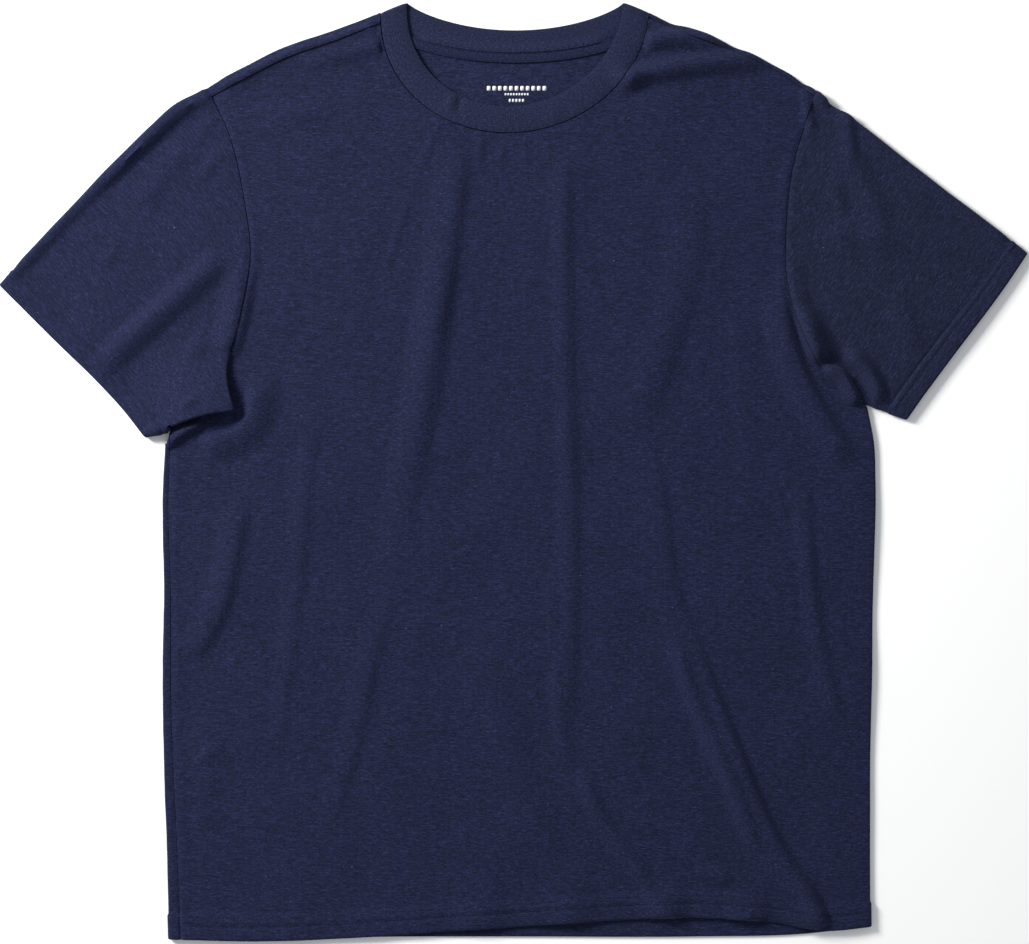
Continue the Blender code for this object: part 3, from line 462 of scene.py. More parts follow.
def inset_outline(sides):
    """Moves each side of a closed outline inwards by its own inset, and mends the corners."""
    loop = np.vstack([side.points[:-1] for side in sides])
    following = np.roll(loop, -1, axis=0)
    area = np.sum(loop[:, 0] * following[:, 1] - following[:, 0] * loop[:, 1])
    turn = 1.0 if area > 0 else -1.0
    moved = []
    for side in sides:
        normals = leftwards(np.diff(side.points, axis=0)) * turn
        mean = unit(np.vstack([normals[:1], normals[:-1] + normals[1:], normals[-1:]]))
        beside = np.vstack([normals[:1], normals])
        miter = 1.0 / np.maximum(np.sum(mean * beside, axis=1), LEAST_MITER)
        inset = np.broadcast_to(side.inset, len(side.points))
        moved.append((side.points + mean * (inset * miter)[:, None], normals, inset))
    corners = []
    for k, side in enumerate(sides):
        _, normals_in, inset_in = moved[k - 1]
        _, normals_out, inset_out = moved[k]
        pair = np.array([normals_in[-1], normals_out[0]])
        lengths = np.array([inset_in[-1], inset_out[0]])
        if abs(np.linalg.det(pair)) > LEAST_CORNER:
            shift = np.linalg.solve(pair, lengths)
        else:
            shift = pair.mean(axis=0) * lengths.mean()
        corners.append(side.points[0] + shift)
    cut = []
    for k, side in enumerate(sides):
        cut.append(cut_to_corners(moved[k][0], side.points, corners[k], corners[(k + 1) % len(sides)]))
    return cut


def fill(bottom, right, top, left, grip=1.0):
    """A grid of points between four sides: bottom and top run one way, left and right the other.

    Rows bend with the left and right sides, the less of the way in the higher the grip.
    """
    shares = []
    for side in (bottom, top, left, right):
        reached = travelled(side)
        shares.append(reached / reached[-1])
    across_low, across_high, up_left, up_right = shares
    across = ((across_low + across_high) / 2)[None, :, None]
    up = (1 - across[..., 0]) * up_left[:, None] + across[..., 0] * up_right[:, None]
    up = up[..., None]
    grid = (1 - up) * bottom[None] + up * top[None]
    for edge, line_share, hold, first in ((left, up_left, 1 - across, 0), (right, up_right, across, -1)):
        straight = (1 - line_share[:, None]) * bottom[first] + line_share[:, None] * top[first]
        grid = grid + hold**grip * (edge - straight)[:, None]
    return grid


def fill_from_hem(hem, right, top, left, grip=1.0):
    """The same, whose first rows are the hem's own line moved in, whatever the shape above it."""
    reached = travelled(hem)
    share = (reached / reached[-1])[:, None]
    rows = [hem]
    for k in range(1, HEM_ROWS + 1):
        rows.append(hem + (1 - share) * (left[k] - left[0]) + share * (right[k] - right[0]))
    upper = fill(rows[-1], right[HEM_ROWS:], top, left[HEM_ROWS:], grip)
    return np.concatenate([np.array(rows[:-1]), upper])


def distance_to(points, curve):
    """Distance of each plan point from a polyline, its side of it, and how far along it is."""
    start, step = curve[:-1], np.diff(curve, axis=0)
    offset = points[:, None, :] - start[None]
    share = np.clip(np.sum(offset * step, axis=2) / np.sum(step * step, axis=1), 0.0, 1.0)
    away = offset - share[..., None] * step
    squared = np.sum(away * away, axis=2)
    nearest = np.argmin(squared, axis=1)
    rows = np.arange(len(points))
    side = step[nearest, 0] * away[rows, nearest, 1] - step[nearest, 1] * away[rows, nearest, 0]
    lengths = np.linalg.norm(step, axis=1)
    along = travelled(curve)[nearest] + share[rows, nearest] * lengths[nearest]
    return np.sqrt(squared[rows, nearest]), side > 0, along


def close_to(points, curve, reach):
    """The points within a curve's box grown by reach: their numbers, distance, side, way along and to go."""
    low, high = curve.min(axis=0) - reach, curve.max(axis=0) + reach
    chosen = np.flatnonzero(np.all((points > low) & (points < high), axis=1))
    distance, on_left, along = distance_to(points[chosen], curve)
    return chosen, distance, on_left, along, travelled(curve)[-1] - along


def faded_ends(along, to_go, first, last):
    """1 along a curve, falling to 0 at its ends over the first and the last stretch."""
    return smoothstep(along / first) * smoothstep(to_go / last)


def fold_height(points, folds):
    """Height that the folds add at each plan point."""
    total = np.zeros(len(points))
    for fold in folds:
        reach = max(fold.left, fold.right)
        chosen, distance, on_left, along, to_go = close_to(points, smooth_curve(fold.path), reach)
        width = np.where(on_left, fold.left, fold.right)
        across = np.clip(1.0 - (distance / width) ** 2, 0.0, 1.0) ** 2
        total[chosen] += fold.height * across * faded_ends(along, to_go, fold.fade_in, fold.fade_out)
    return total


def undulation(points):
    """The soft unevenness of cloth that lies loose: long waves, more across the shirt than along it."""
    draws = np.random.default_rng(WAVE_SEED)
    total = np.zeros(len(points))
    for _ in range(WAVE_COUNT):
        length = draws.uniform(*WAVE_LENGTHS)
        heading = draws.normal(0.0, WAVE_HEADING)
        phase = draws.uniform(0.0, 2 * math.pi)
        travel = points[:, 0] * math.cos(heading) + points[:, 1] * math.sin(heading)
        total += length * np.sin(travel * 2 * math.pi / length + phase)
    return WAVE_HEIGHT * total / (WAVE_LENGTHS[1] * math.sqrt(WAVE_COUNT))


def seam_relief(points):
    """A groove along each seam, with the seam allowance as a low ridge beside it and small puckers."""
    total = np.zeros(len(points))
    for number, (name, seam) in enumerate(SEAMS.items()):
        chosen, distance, _, along, _ = close_to(points, seam, PUCKER_REACH)
        groove = GROOVE_HEIGHTS[name] * (1 - smoothstep(distance / GROOVE_WIDTH))
        ridge = RIDGE_HEIGHT * np.clip(1 - ((distance - RIDGE_AT) / RIDGE_WIDTH) ** 2, 0, 1)
        puckers = sum(np.sin(along / length + shift * number) for shift, length in PUCKER_WAVES)
        fade = 1 - smoothstep(distance / PUCKER_REACH)
        total[chosen] += groove + ridge + PUCKER_HEIGHT * puckers * fade
    for row in STITCH_ROWS:
        chosen, distance = close_to(points, row, STITCH_GROOVE_WIDTH)[:2]
        total[chosen] -= STITCH_GROOVE_DEPTH * (1 - smoothstep(distance / STITCH_GROOVE_WIDTH))
    return total


def relief(points):
    return fold_height(points, CREASES) + undulation(points) + seam_relief(points)


def outline_curves(side):
    """The fold edges of one half of the shirt, which the front layer rises to."""
    return {
        "shoulder": between(SHOULDER_TIP[side], SHOULDER_BY[side], NECK_POINT[side]),
        "flank": between(HEM_CORNER[side], SIDE_BY[side], UNDERARM[side]),
        "sleeve_top": between(SHOULDER_TIP[side], SLEEVE_TOP_BY[side], CUFF_OUTER[side]),
        "sleeve_under": smooth_curve([CUFF_INNER[side], NOTCH if side == "right" else UNDERARM[side]]),
    }


EDGES = {side: outline_curves(side) for side in SIDES}


def offset(curve, distance):
    """A curve beside another, at a distance to its left that may change along it."""
    distance = np.broadcast_to(distance, len(curve))
    return curve + leftwards(np.gradient(curve, axis=0)) * distance[:, None]


def armhole_curve(side):
    return between(UNDERARM[side], ARMHOLE_BY[side][::-1], SHOULDER_TIP[side])


def armhole_side(side):
    """From the underarm to the shoulder tip, the same points on panel and sleeve."""
    return evenly(armhole_curve(side), ARMHOLE_CELLS)


def cuff_curve(side):
    return between(CUFF_INNER[side], CUFF_BY[side][::-1], CUFF_OUTER[side])


def seam_lines():
    """The seams that show on the front layer."""
    flank = EDGES["right"]["flank"]
    return {
        "armhole_right": armhole_side("right")[LIP_FROM:],
        "armhole_left": armhole_curve("left"),
        "shoulder_right": offset(EDGES["right"]["shoulder"], -SHOULDER_ROLL["right"]),
        "shoulder_left": offset(EDGES["left"]["shoulder"], SHOULDER_ROLL["left"]),
        "flank_right": offset(flank, -np.linspace(*SIDE_ROLL_RIGHT, len(flank))),
        "neck": neck_curve(FRONT_SEAM),
    }


def sleeve_loop(points):
    """The loose loop along each sleeve's turned top edge, which stands above the layers inside."""
    height = np.zeros(len(points))
    for curves in EDGES.values():
        chosen, distance, _, along, to_go = close_to(points, curves["sleeve_top"], FOLD_INSET + LOOP_REACH)
        loop = SLEEVE_LOOP * faded_ends(along, to_go, LOOP_FADE, LOOP_FADE)
        loop *= 1.0 - smoothstep((distance - FOLD_INSET) / LOOP_REACH)
        height[chosen] = np.maximum(height[chosen], loop)
    return height


def edge_lift(points):
    """1 at a turned edge of the shirt, falling to 0 inside it."""
    lift = np.zeros(len(points))
    for curves in EDGES.values():
        for curve in curves.values():
            chosen, distance = close_to(points, curve, FOLD_INSET + EDGE_REACH)[:2]
            lift[chosen] = np.maximum(lift[chosen], 1.0 - smoothstep((distance - FOLD_INSET) / EDGE_REACH))
    return lift


def front_height(plan, walls):
    """Height of the middle of the front layer's wall over each plan point."""
    points = plan.reshape(-1, 2)
    walls = np.broadcast_to(walls, plan.shape[:-1]).ravel()
    at_edge = edge_lift(points)
    lift = 2 * FOLD_RADIUS - CLOTH_WALL - LAYER_GAP
    # the back layer's wall, the gap, and half of this layer's own
    base = 1.5 * walls + LAYER_GAP + lift * at_edge
    height = base + fold_height(points, FOLDS) + relief(points) + BODY_LOFT * (1 - at_edge)
    height += sleeve_loop(points)
    return np.maximum(height, base - SINK).reshape(plan.shape[:-1])


def armhole_stand(plan, name):
    """How far a piece stands over its neighbour along one of the armhole seams."""
    stand = np.zeros(plan.shape[:-1])
    nearby = close_to(plan.reshape(-1, 2), SEAMS[name], ARMHOLE_STAND_REACH)
    chosen, distance, _, along, to_go = nearby
    height = ARMHOLE_STANDS[name] * faded_ends(along, to_go, TIP_REACH, TIP_REACH)
    stand.flat[chosen] = height * (1 - smoothstep(distance / ARMHOLE_STAND_REACH))
    return stand


def raised(plan, heights):
    return np.concatenate([plan, np.broadcast_to(heights, plan.shape[:-1])[..., None]], axis=-1)


class Cloth:
    """The middle surface of one cloth piece: points, the wall at each, and the cells between them."""

    def __init__(self):
        self.points = []
        self.walls = []
        self.cells = []

    def add(self, points, walls):
        """Adds points and gives back their numbers in the same arrangement."""
        shape = points.shape[:-1]
        first = len(self.points)
        self.points.extend(points.reshape(-1, 3))
        self.walls.extend(np.broadcast_to(walls, shape).ravel())
        return np.arange(first, len(self.points)).reshape(shape)

    def lay(self, plan, heights, walls):
        """Adds a grid of plan points at these heights, with its cells, and gives back their numbers."""
        numbers = self.add(raised(plan, heights), walls)
        self.weave(numbers)
        return numbers

    def weave(self, rows):
        """Cells between each row of numbers and the next."""
        for row, following in zip(rows[:-1], rows[1:]):
            for k in range(len(row) - 1):
                self.cells.append((row[k], row[k + 1], following[k + 1], following[k]))

    def turn(self, upper, lower, crest, radius=FOLD_RADIUS):
        """Turns the cloth round an edge, from the upper row of numbers over the crest to the lower one.

        The crest holds for a turn of the given radius; a higher stretch bulges out with its height.
        """
        top = np.array([self.points[k] for k in upper])
        bottom = np.array([self.points[k] for k in lower])
        walls = np.array([self.walls[k] for k in upper])
        bulge = raised(crest - (top + bottom)[:, :2] / 2, 0.0)
        radius_share = (top[:, 2:] - bottom[:, 2:]) / (2 * radius)
        rows = [upper]
        for k in range(1, TURN_CELLS):
            angle = math.pi * k / TURN_CELLS
            arc = (top + bottom) / 2 + (top - bottom) / 2 * math.cos(angle)
            rows.append(self.add(arc + bulge * radius_share * math.sin(angle), walls))
        rows.append(lower)
        self.weave(rows)


def new_object(name, data):
    added = bpy.data.objects.new(name, data)
    bpy.context.scene.collection.objects.link(added)
    return added


def mesh_piece(name, points, faces, material):
    mesh = bpy.data.meshes.new(name)
    mesh.from_pydata((points * MM).tolist(), [], faces)
    mesh.materials.append(material)
    mesh.shade_smooth()
    mesh.update()
    return new_object(name, mesh)


def thicken(cloth, name, material, places=None):
    """Makes the wall of a cloth piece, half its thickness to each side of the middle surface.

    Its rims are rounded. places gives each middle point's own place along and across the cloth.
    """
    middle = bmesh.new()
    for point in cloth.points:
        middle.verts.new(point)
    middle.verts.ensure_lookup_table()
    for cell in cloth.cells:
        middle.faces.new([middle.verts[k] for k in cell])
    bmesh.ops.recalc_face_normals(middle, faces=middle.faces)
    middle.normal_update()

    count = len(middle.verts)
    middles = np.array([vertex.co for vertex in middle.verts])
    normals = np.array([vertex.normal for vertex in middle.verts])
    half = np.array(cloth.walls)[:, None] / 2
    skins = np.concatenate([middles + normals * half, middles - normals * half])
    faces = []
    for face in middle.faces:
        numbers = [vertex.index for vertex in face.verts]
        faces.append(numbers)
        faces.append([number + count for number in reversed(numbers)])

    outwards = np.zeros((count, 3))
    rims = [edge for edge in middle.edges if edge.is_boundary]
    for edge in rims:
        first, second = (vertex.index for vertex in edge.verts)
        across = np.cross(middles[second] - middles[first], normals[first])
        inside = np.array(edge.link_faces[0].calc_center_median()) - middles[first]
        across *= -np.sign(across @ inside) / max(np.linalg.norm(across), TINY)
        outwards[first] += across
        outwards[second] += across
    on_rim = np.flatnonzero(np.abs(outwards).sum(axis=1) > 0)
    lengths = np.linalg.norm(outwards[on_rim], axis=1)[:, None]
    reach = np.where(half[on_rim] > THICK_WALL / 2, half[on_rim] * RIM_ROUND, SEAM_ROUND)
    rim_points = middles[on_rim] + outwards[on_rim] / np.maximum(lengths, TINY) * reach
    rim_number = {number: 2 * count + k for k, number in enumerate(on_rim)}
    for edge in rims:
        first, second = (vertex.index for vertex in edge.verts)
        faces.append([first, second, rim_number[second], rim_number[first]])
        faces.append([rim_number[first], rim_number[second], second + count, first + count])
    middle.free()

    points = np.concatenate([skins, rim_points])
    points[:, 2] = np.maximum(points[:, 2], 0.0)
    piece = mesh_piece(name, points, faces, material)
    mesh = piece.data
    if places is not None:
        flat = np.concatenate([places, places, places[on_rim]]) * MM
        attribute = mesh.attributes.new(PLACE_ATTRIBUTE, "FLOAT_VECTOR", "POINT")
        attribute.data.foreach_set("vector", np.column_stack([flat, np.zeros(len(flat))]).ravel())
    wall = bmesh.new()
    wall.from_mesh(mesh)
    bmesh.ops.recalc_face_normals(wall, faces=wall.faces)
    wall.to_mesh(mesh)
    wall.free()
    mesh.set_sharp_from_angle(angle=math.radians(CUT_EDGE_ANGLE))
    return piece


def both(make):
    return {side: make(side) for side in SIDES}


def flank_side(side):
    """From the hem to the underarm, the same points on both panels."""
    return hem_first(EDGES[side]["flank"], BODY_HEM, SIDE_CELLS)


def shoulder_side(side):
    """From the shoulder tip to the neck point, the same points on both panels."""
    return evenly(EDGES[side]["shoulder"], SHOULDER_CELLS)


def back_armhole_side(side):
    """From where the back seam bends, or the underarm, to the shoulder tip."""
    start = BACK_SEAM_BEND if side == "right" else UNDERARM[side]
    return evenly(between(start, BACK_ARMHOLE_BY[side][::-1], SHOULDER_TIP[side]), BACK_ARMHOLE_CELLS[side])


def hem_side(by, neck_cells):
    """The hem from right to left, with a point for each point of the shoulders and the neck."""
    curve = between(HEM_CORNER["right"], by, HEM_CORNER["left"])
    shoulder = np.linspace(0.0, SHOULDER_SHARE, SHOULDER_CELLS + 1)
    middle = np.linspace(SHOULDER_SHARE, 1 - SHOULDER_SHARE, neck_cells + 1)
    shares = np.concatenate([shoulder, middle[1:], (1 - shoulder[::-1])[1:]])
    return at_distances(curve, shares * travelled(curve)[-1])


def panel_outline(hem, armhole, neck, insets):
    """The eight sides of a panel from the hem round, moved in: insets names each side's distance."""
    flank, shoulder = both(flank_side), both(shoulder_side)
    lines = {
        "hem": hem,
        "flank_left": flank["left"],
        "armhole_left": armhole["left"],
        "shoulder_left": shoulder["left"],
        "neck": neck[::-1],
        "shoulder_right": shoulder["right"][::-1],
        "armhole_right": armhole["right"][::-1],
        "flank_right": flank["right"][::-1],
    }
    moved = inset_outline([Side(line, insets[name]) for name, line in lines.items()])
    return dict(zip(lines, moved))


def fill_panel(outline):
    """The panel's grid: rows run from the right to the left, and from the hem up to the neck."""
    top = run_on(outline["shoulder_left"], outline["neck"], outline["shoulder_right"])[::-1]
    left_edge = run_on(outline["armhole_right"], outline["flank_right"])[::-1]
    right_edge = run_on(outline["flank_left"], outline["armhole_left"])
    return fill_from_hem(outline["hem"], right_edge, top, left_edge, PANEL_GRIP)


def row_walls(plan):
    """The wall of each row of a grid that starts at a hem."""
    walls = np.full((len(plan), 1), CLOTH_WALL)
    walls[:HEM_ROWS] = HEM_WALL
    return walls


def seam_insets(points, start=HALF_GAP):
    """Half the seam's gap along an armhole, from its inset at the underarm to less at the shoulder tip."""
    reached = travelled(points)
    places = (0.0, UNDERARM_REACH, reached[-1] - TIP_REACH, reached[-1])
    return np.interp(reached, places, (start, HALF_GAP, HALF_GAP, TIP_INSET))


def right_flank_insets():
    """How far in the right flank's seam lies from the turned edge, from the underarm to the hem."""
    return np.linspace(*SIDE_ROLL_RIGHT, SIDE_ROWS)[::-1]


def front_panel():
    hem = hem_side(FRONT_HEM_BY, NECK_CELLS)
    armhole = both(armhole_side)
    neck = evenly(neck_curve(FRONT_SEAM), NECK_CELLS)
    insets = {
        "hem": 0.0,
        "flank_left": FOLD_INSET,
        "armhole_left": seam_insets(armhole["left"], UNDERARM_INSET),
        "shoulder_left": SHOULDER_ROLL["left"] + LEFT_SHOULDER_GAP / 2,
        "neck": HALF_GAP,
        "shoulder_right": SHOULDER_ROLL["right"] + HALF_GAP,
        "armhole_right": seam_insets(armhole["right"])[::-1],
        "flank_right": right_flank_insets() + HALF_GAP,
    }
    plan = fill_panel(panel_outline(hem, armhole, neck, insets))
    walls = row_walls(plan)
    heights = front_height(plan, walls) + armhole_stand(plan, "armhole_left")
    cloth = Cloth()
    grid = cloth.lay(plan, heights, walls)

    # Round the left flank and under, to the seam with the back panel
    back_armhole = both(back_armhole_side)
    under_insets = {
        **insets,
        "armhole_left": seam_insets(back_armhole["left"], UNDERARM_INSET),
        "armhole_right": HALF_GAP,
    }

    def left_flank(armholes, side_insets, inset):
        return panel_outline(hem, armholes, neck, {**side_insets, "flank_left": inset})["flank_left"]

    side_walls = walls[:SIDE_ROWS, 0]
    under = left_flank(back_armhole, under_insets, FOLD_INSET)
    lower = cloth.add(raised(under, side_walls / 2), side_walls)
    cloth.turn(grid[:SIDE_ROWS, -1], lower, left_flank(armhole, insets, CLOTH_WALL / 2))
    seam = left_flank(back_armhole, under_insets, SIDE_ROLL_LEFT)
    cloth.weave([lower, cloth.add(raised(seam, side_walls / 2), side_walls)])
    return cloth


def back_panel():
    hem = hem_side(BACK_HEM_BY, BACK_NECK_CELLS)
    armhole = both(back_armhole_side)
    to_notch = evenly(smooth_curve([UNDERARM["right"], NOTCH]), FINE)
    to_bend = evenly(smooth_curve([NOTCH, BACK_SEAM_BEND]), FINE)
    armhole["right"] = run_on(to_notch, to_bend, armhole["right"])
    neck = evenly(neck_curve(BACK_SEAM), BACK_NECK_CELLS)
    armhole_right = seam_insets(armhole["right"])[::-1]
    armhole_right[-1 - 2 * FINE :] = HIDDEN_INSET
    armhole_right[-1] = FOLD_INSET
    from_underarm = travelled(flank_side("right")[::-1])
    insets = {
        "hem": 0.0,
        "flank_left": SIDE_ROLL_LEFT + SEAM_GAP,
        "armhole_left": seam_insets(armhole["left"], UNDERARM_INSET),
        "shoulder_left": FOLD_INSET,
        "neck": HALF_GAP,
        "shoulder_right": FOLD_INSET,
        "armhole_right": armhole_right,
        "flank_right": np.interp(from_underarm, (0.0, UNDERARM_REACH), (CORNER_FOLD_INSET, FOLD_INSET)),
    }
    plan = fill_panel(panel_outline(hem, armhole, neck, insets))
    walls = row_walls(plan)
    cloth = Cloth()
    grid = cloth.lay(plan, walls / 2, walls)

    # Over the shoulders and the right flank to the seams with the front panel
    front_armhole = both(armhole_side)
    front_neck = evenly(neck_curve(FRONT_SEAM), NECK_CELLS)
    over_insets = {
        **insets,
        "armhole_right": seam_insets(front_armhole["right"])[::-1],
        "armhole_left": seam_insets(front_armhole["left"]),
    }
    at_crest = dict.fromkeys(STRIP_STANDS, CLOTH_WALL / 2)
    at_seam = {
        "shoulder_left": SHOULDER_ROLL["left"] - LEFT_SHOULDER_GAP / 2,
        "shoulder_right": SHOULDER_ROLL["right"] - HALF_GAP,
        "flank_right": right_flank_insets() - HALF_GAP,
    }
    starts, crests, seams = (
        panel_outline(hem, front_armhole, front_neck, {**over_insets, **moved})
        for moved in ({}, at_crest, at_seam)
    )
    shoulder_walls = np.full(SHOULDER_CELLS + 1, CLOTH_WALL)
    borders = {
        "shoulder_left": (grid[-1, ::-1][: SHOULDER_CELLS + 1], shoulder_walls),
        "shoulder_right": (grid[-1, SHOULDER_CELLS::-1], shoulder_walls),
        "flank_right": (grid[:SIDE_ROWS, 0][::-1], walls[:SIDE_ROWS, 0][::-1]),
    }
    for name, (lower, border_walls) in borders.items():
        strip = []
        for share in np.linspace(0.0, 1.0, STRIP_ROWS + 1):
            line = starts[name] + (seams[name] - starts[name]) * share
            height = front_height(line, border_walls) + STRIP_STANDS[name] * share**2
            strip.append(cloth.add(raised(line, height), border_walls))
        cloth.turn(strip[0], lower, crests[name])
        cloth.weave(strip)
    return cloth


def lip_lift(points):
    distance = np.linalg.norm(points - np.array(LIP_HIGHEST, float), axis=-1)
    return LIP_HEIGHT * smoothstep(1.0 - distance / LIP_REACH)


def sleeve(side):
    """A flattened tube from the armhole to the cuff: front layer, back layer and both turned edges."""
    has_lip = side == "right"
    armhole = armhole_side(side)
    back_armhole = back_armhole_side(side)
    under_curve = EDGES[side]["sleeve_under"]
    if has_lip:
        shared_seam = armhole[LIP_FROM:]
        lip_edge = evenly(smooth_curve([LIP_TIP, *LIP_EDGE_BY[::-1], shared_seam[0]]), LIP_CELLS)
        armhole = run_on(lip_edge, shared_seam)
        tube_under = hem_first(under_curve, CUFF_HEM, FINE)
        under = run_on(tube_under, evenly(smooth_curve([NOTCH, *LIP_UNDER_BY, LIP_TIP]), LIP_STATIONS))
        under_back = run_on(tube_under, evenly(smooth_curve([NOTCH, BACK_SEAM_BEND]), LIP_STATIONS))
    else:
        tube_under = under = under_back = hem_first(under_curve, CUFF_HEM, LEFT_SLEEVE_CELLS)
    tube_stations = len(tube_under)
    top = hem_first(EDGES[side]["sleeve_top"][::-1], CUFF_HEM, len(under) - HEM_ROWS - 1)
    cuff = evenly(cuff_curve(side), len(armhole) - 1)
    cuff_back = evenly(cuff_curve(side), len(back_armhole) - 1)

    under_insets = np.full(len(under), FOLD_INSET)
    under_back_insets = under_insets.copy()
    under_back_insets[tube_stations - 1 :] = HIDDEN_INSET

    def layer(seam, cuff_line, under_line, top_inset, line_insets):
        sides = [
            Side(seam, seam_insets(seam, HALF_GAP if has_lip else UNDERARM_INSET)),
            Side(top[::-1], top_inset),
            Side(cuff_line[::-1], 0.0),
            Side(under_line, line_insets),
        ]
        moved_seam, moved_top, moved_cuff, moved_under = inset_outline(sides)
        return moved_cuff[::-1], moved_top[::-1], moved_seam, moved_under

    plan = fill_from_hem(*layer(armhole, cuff, under, FOLD_INSET, under_insets))
    walls = row_walls(plan)
    heights = front_height(plan, walls)
    if has_lip:
        heights = heights + lip_lift(plan) + armhole_stand(plan, "armhole_right")
    cloth = Cloth()
    front = cloth.lay(plan, heights, walls)

    plan_back = fill_from_hem(*layer(back_armhole, cuff_back, under_back, FOLD_INSET, under_back_insets))
    back = cloth.lay(plan_back, walls / 2, walls)

    crest_insets = np.full(len(under), CLOTH_WALL / 2)
    _, top_crest, _, under_crest = layer(armhole, cuff, under, CLOTH_WALL / 2, crest_insets)
    cloth.turn(front[:, -1], back[:, -1], top_crest)
    cloth.turn(front[:tube_stations, 0], back[:tube_stations, 0], under_crest[:tube_stations])
    if has_lip:
        add_lip_return(cloth, front, tube_stations)
    return cloth


def add_lip_return(cloth, front, tube_stations):
    """Turns the lip's edge under and leads it back down to the body inside, with a hollow below it."""
    upper = np.concatenate([front[tube_stations + 1 :, 0], front[-1, 1:LIP_CELLS]])
    points = np.array([cloth.points[k] for k in upper])
    edge = points[:, :2]
    outwards = -leftwards(np.gradient(edge, axis=0))
    floor = 2 * CLOTH_WALL + LAYER_GAP + CLOTH_WALL / 2 + RETURN_CLEARANCE
    under_edge = np.maximum(points[:, 2] - 2 * FOLD_RADIUS, floor)
    lower = cloth.add(raised(edge, under_edge), CLOTH_WALL)
    to_seam = (len(edge) - 1 - np.arange(len(edge)))[:, None] / FINE
    cloth.turn(upper, lower, edge + outwards * FOLD_RADIUS * np.clip(to_seam, LEAST_RETURN, 1.0))
    end = edge + (np.array(LIP_HEART) - edge) * LIP_RETURN_SHARE
    cloth.weave([lower, cloth.add(raised(end, floor), CLOTH_WALL)])


def neckband():
    """A rib tube one band wide, flattened: its front half lies over its back half."""
    tip_inset = BAND_TURN + BAND_WALL / 2
    tips = {side: evenly(smooth_curve([NECK_POINT[side], BAND_TIP[side]]), BAND_CELLS) for side in SIDES}

    def layer(seam_edge, rim_edge, cells, inset):
        seam = evenly(neck_curve(seam_edge), cells)
        from_tip = np.minimum(travelled(seam), travelled(seam)[-1] - travelled(seam))
        seam_inset = np.interp(from_tip, (0.0, TIP_REACH), (TIP_INSET, HALF_GAP + BAND_SEAM_INSET))
        sides = [
            Side(seam, seam_inset),
            Side(tips["left"], inset),
            Side(evenly(neck_curve(rim_edge), cells)[::-1], BAND_RIM_INSET),
            Side(tips["right"][::-1], inset),
        ]
        seam, left_tip, rim, right_tip = inset_outline(sides)
        return fill(seam, left_tip, rim[::-1], right_tip[::-1])

    across = np.linspace(-1.0, 1.0, BAND_CELLS + 1)[:, None]
    crown = BAND_CROWN * (1 - across**2)
    walls = BAND_WALL * (1 - BAND_THINS * across**6)
    cloth = Cloth()
    plan = layer(FRONT_SEAM, FRONT_RIM, NECK_CELLS, tip_inset)
    sinks_from, lies_at = BAND_SINKS
    down = smoothstep((sinks_from - plan[..., 1]) / (sinks_from - lies_at))
    heights = BAND_OVER_TAPE + (BAND_AT_MIDDLE - BAND_OVER_TAPE) * down + crown + BAND_LOFT * down
    heights = heights + fold_height(plan.reshape(-1, 2), BAND_CREASES).reshape(heights.shape)
    panel_edge = front_height(evenly(neck_curve(FRONT_SEAM), NECK_CELLS)[None], CLOTH_WALL)
    short_of = np.maximum(panel_edge - BAND_BELOW - heights[0], 0.0)
    heights = heights + short_of * ((1 - across) / 2) ** 2
    front = cloth.lay(plan, heights, walls)

    plan_back = layer(BACK_SEAM, BACK_RIM, BACK_NECK_CELLS, tip_inset)
    covered = smoothstep((np.abs(plan_back[..., 0]) - BAND_STANDS_TO) / BAND_STAND_FADE)
    seam_stands = smoothstep(-across) * (1 - covered)
    back = cloth.lay(plan_back, BAND_WALL / 2 + crown / 2 + BAND_STAND * seam_stands, walls)
    crest = layer(FRONT_SEAM, FRONT_RIM, NECK_CELLS, BAND_WALL / 2)
    for column in (0, -1):
        cloth.turn(front[:, column], back[:, column], crest[:, column], BAND_TURN)

    places = np.zeros((len(cloth.points), 2))
    for numbers in (front, back):
        middle = np.array(cloth.points)[numbers[BAND_CELLS // 2]][:, :2]
        places[numbers, 0] = travelled(middle)[None, :]
        places[numbers, 1] = across * BAND_WIDTH / 2
    return cloth, places


def tape_top(cells):
    """The tape's upper edge, from its right end to its left end."""
    curve = neck_curve(TAPE_TOP)
    ends = np.interp((-TAPE_HALF_LENGTH, TAPE_HALF_LENGTH), curve[:, 0], travelled(curve))
    return at_distances(curve, np.linspace(*ends, cells + 1))


def neck_tape():
    """A strip that covers the back neck seam inside the shirt, up to just under the band's front half."""
    upper = tape_top(TAPE_CELLS)
    cloth = Cloth()
    places = []
    rows = []
    for share in np.linspace(0.0, 1.0, TAPE_ROWS):
        line = offset(upper, -TAPE_WIDTH * share)
        height = CLOTH_WALL + TAPE_LIFT + TAPE_WALL / 2 + TAPE_CROWN * math.sin(math.pi * share)
        rows.append(cloth.add(raised(line, height), TAPE_WALL))
        places.append(np.column_stack([travelled(upper), np.full(len(upper), TAPE_WIDTH * share)]))
    cloth.weave(rows)
    return cloth, np.concatenate(places)


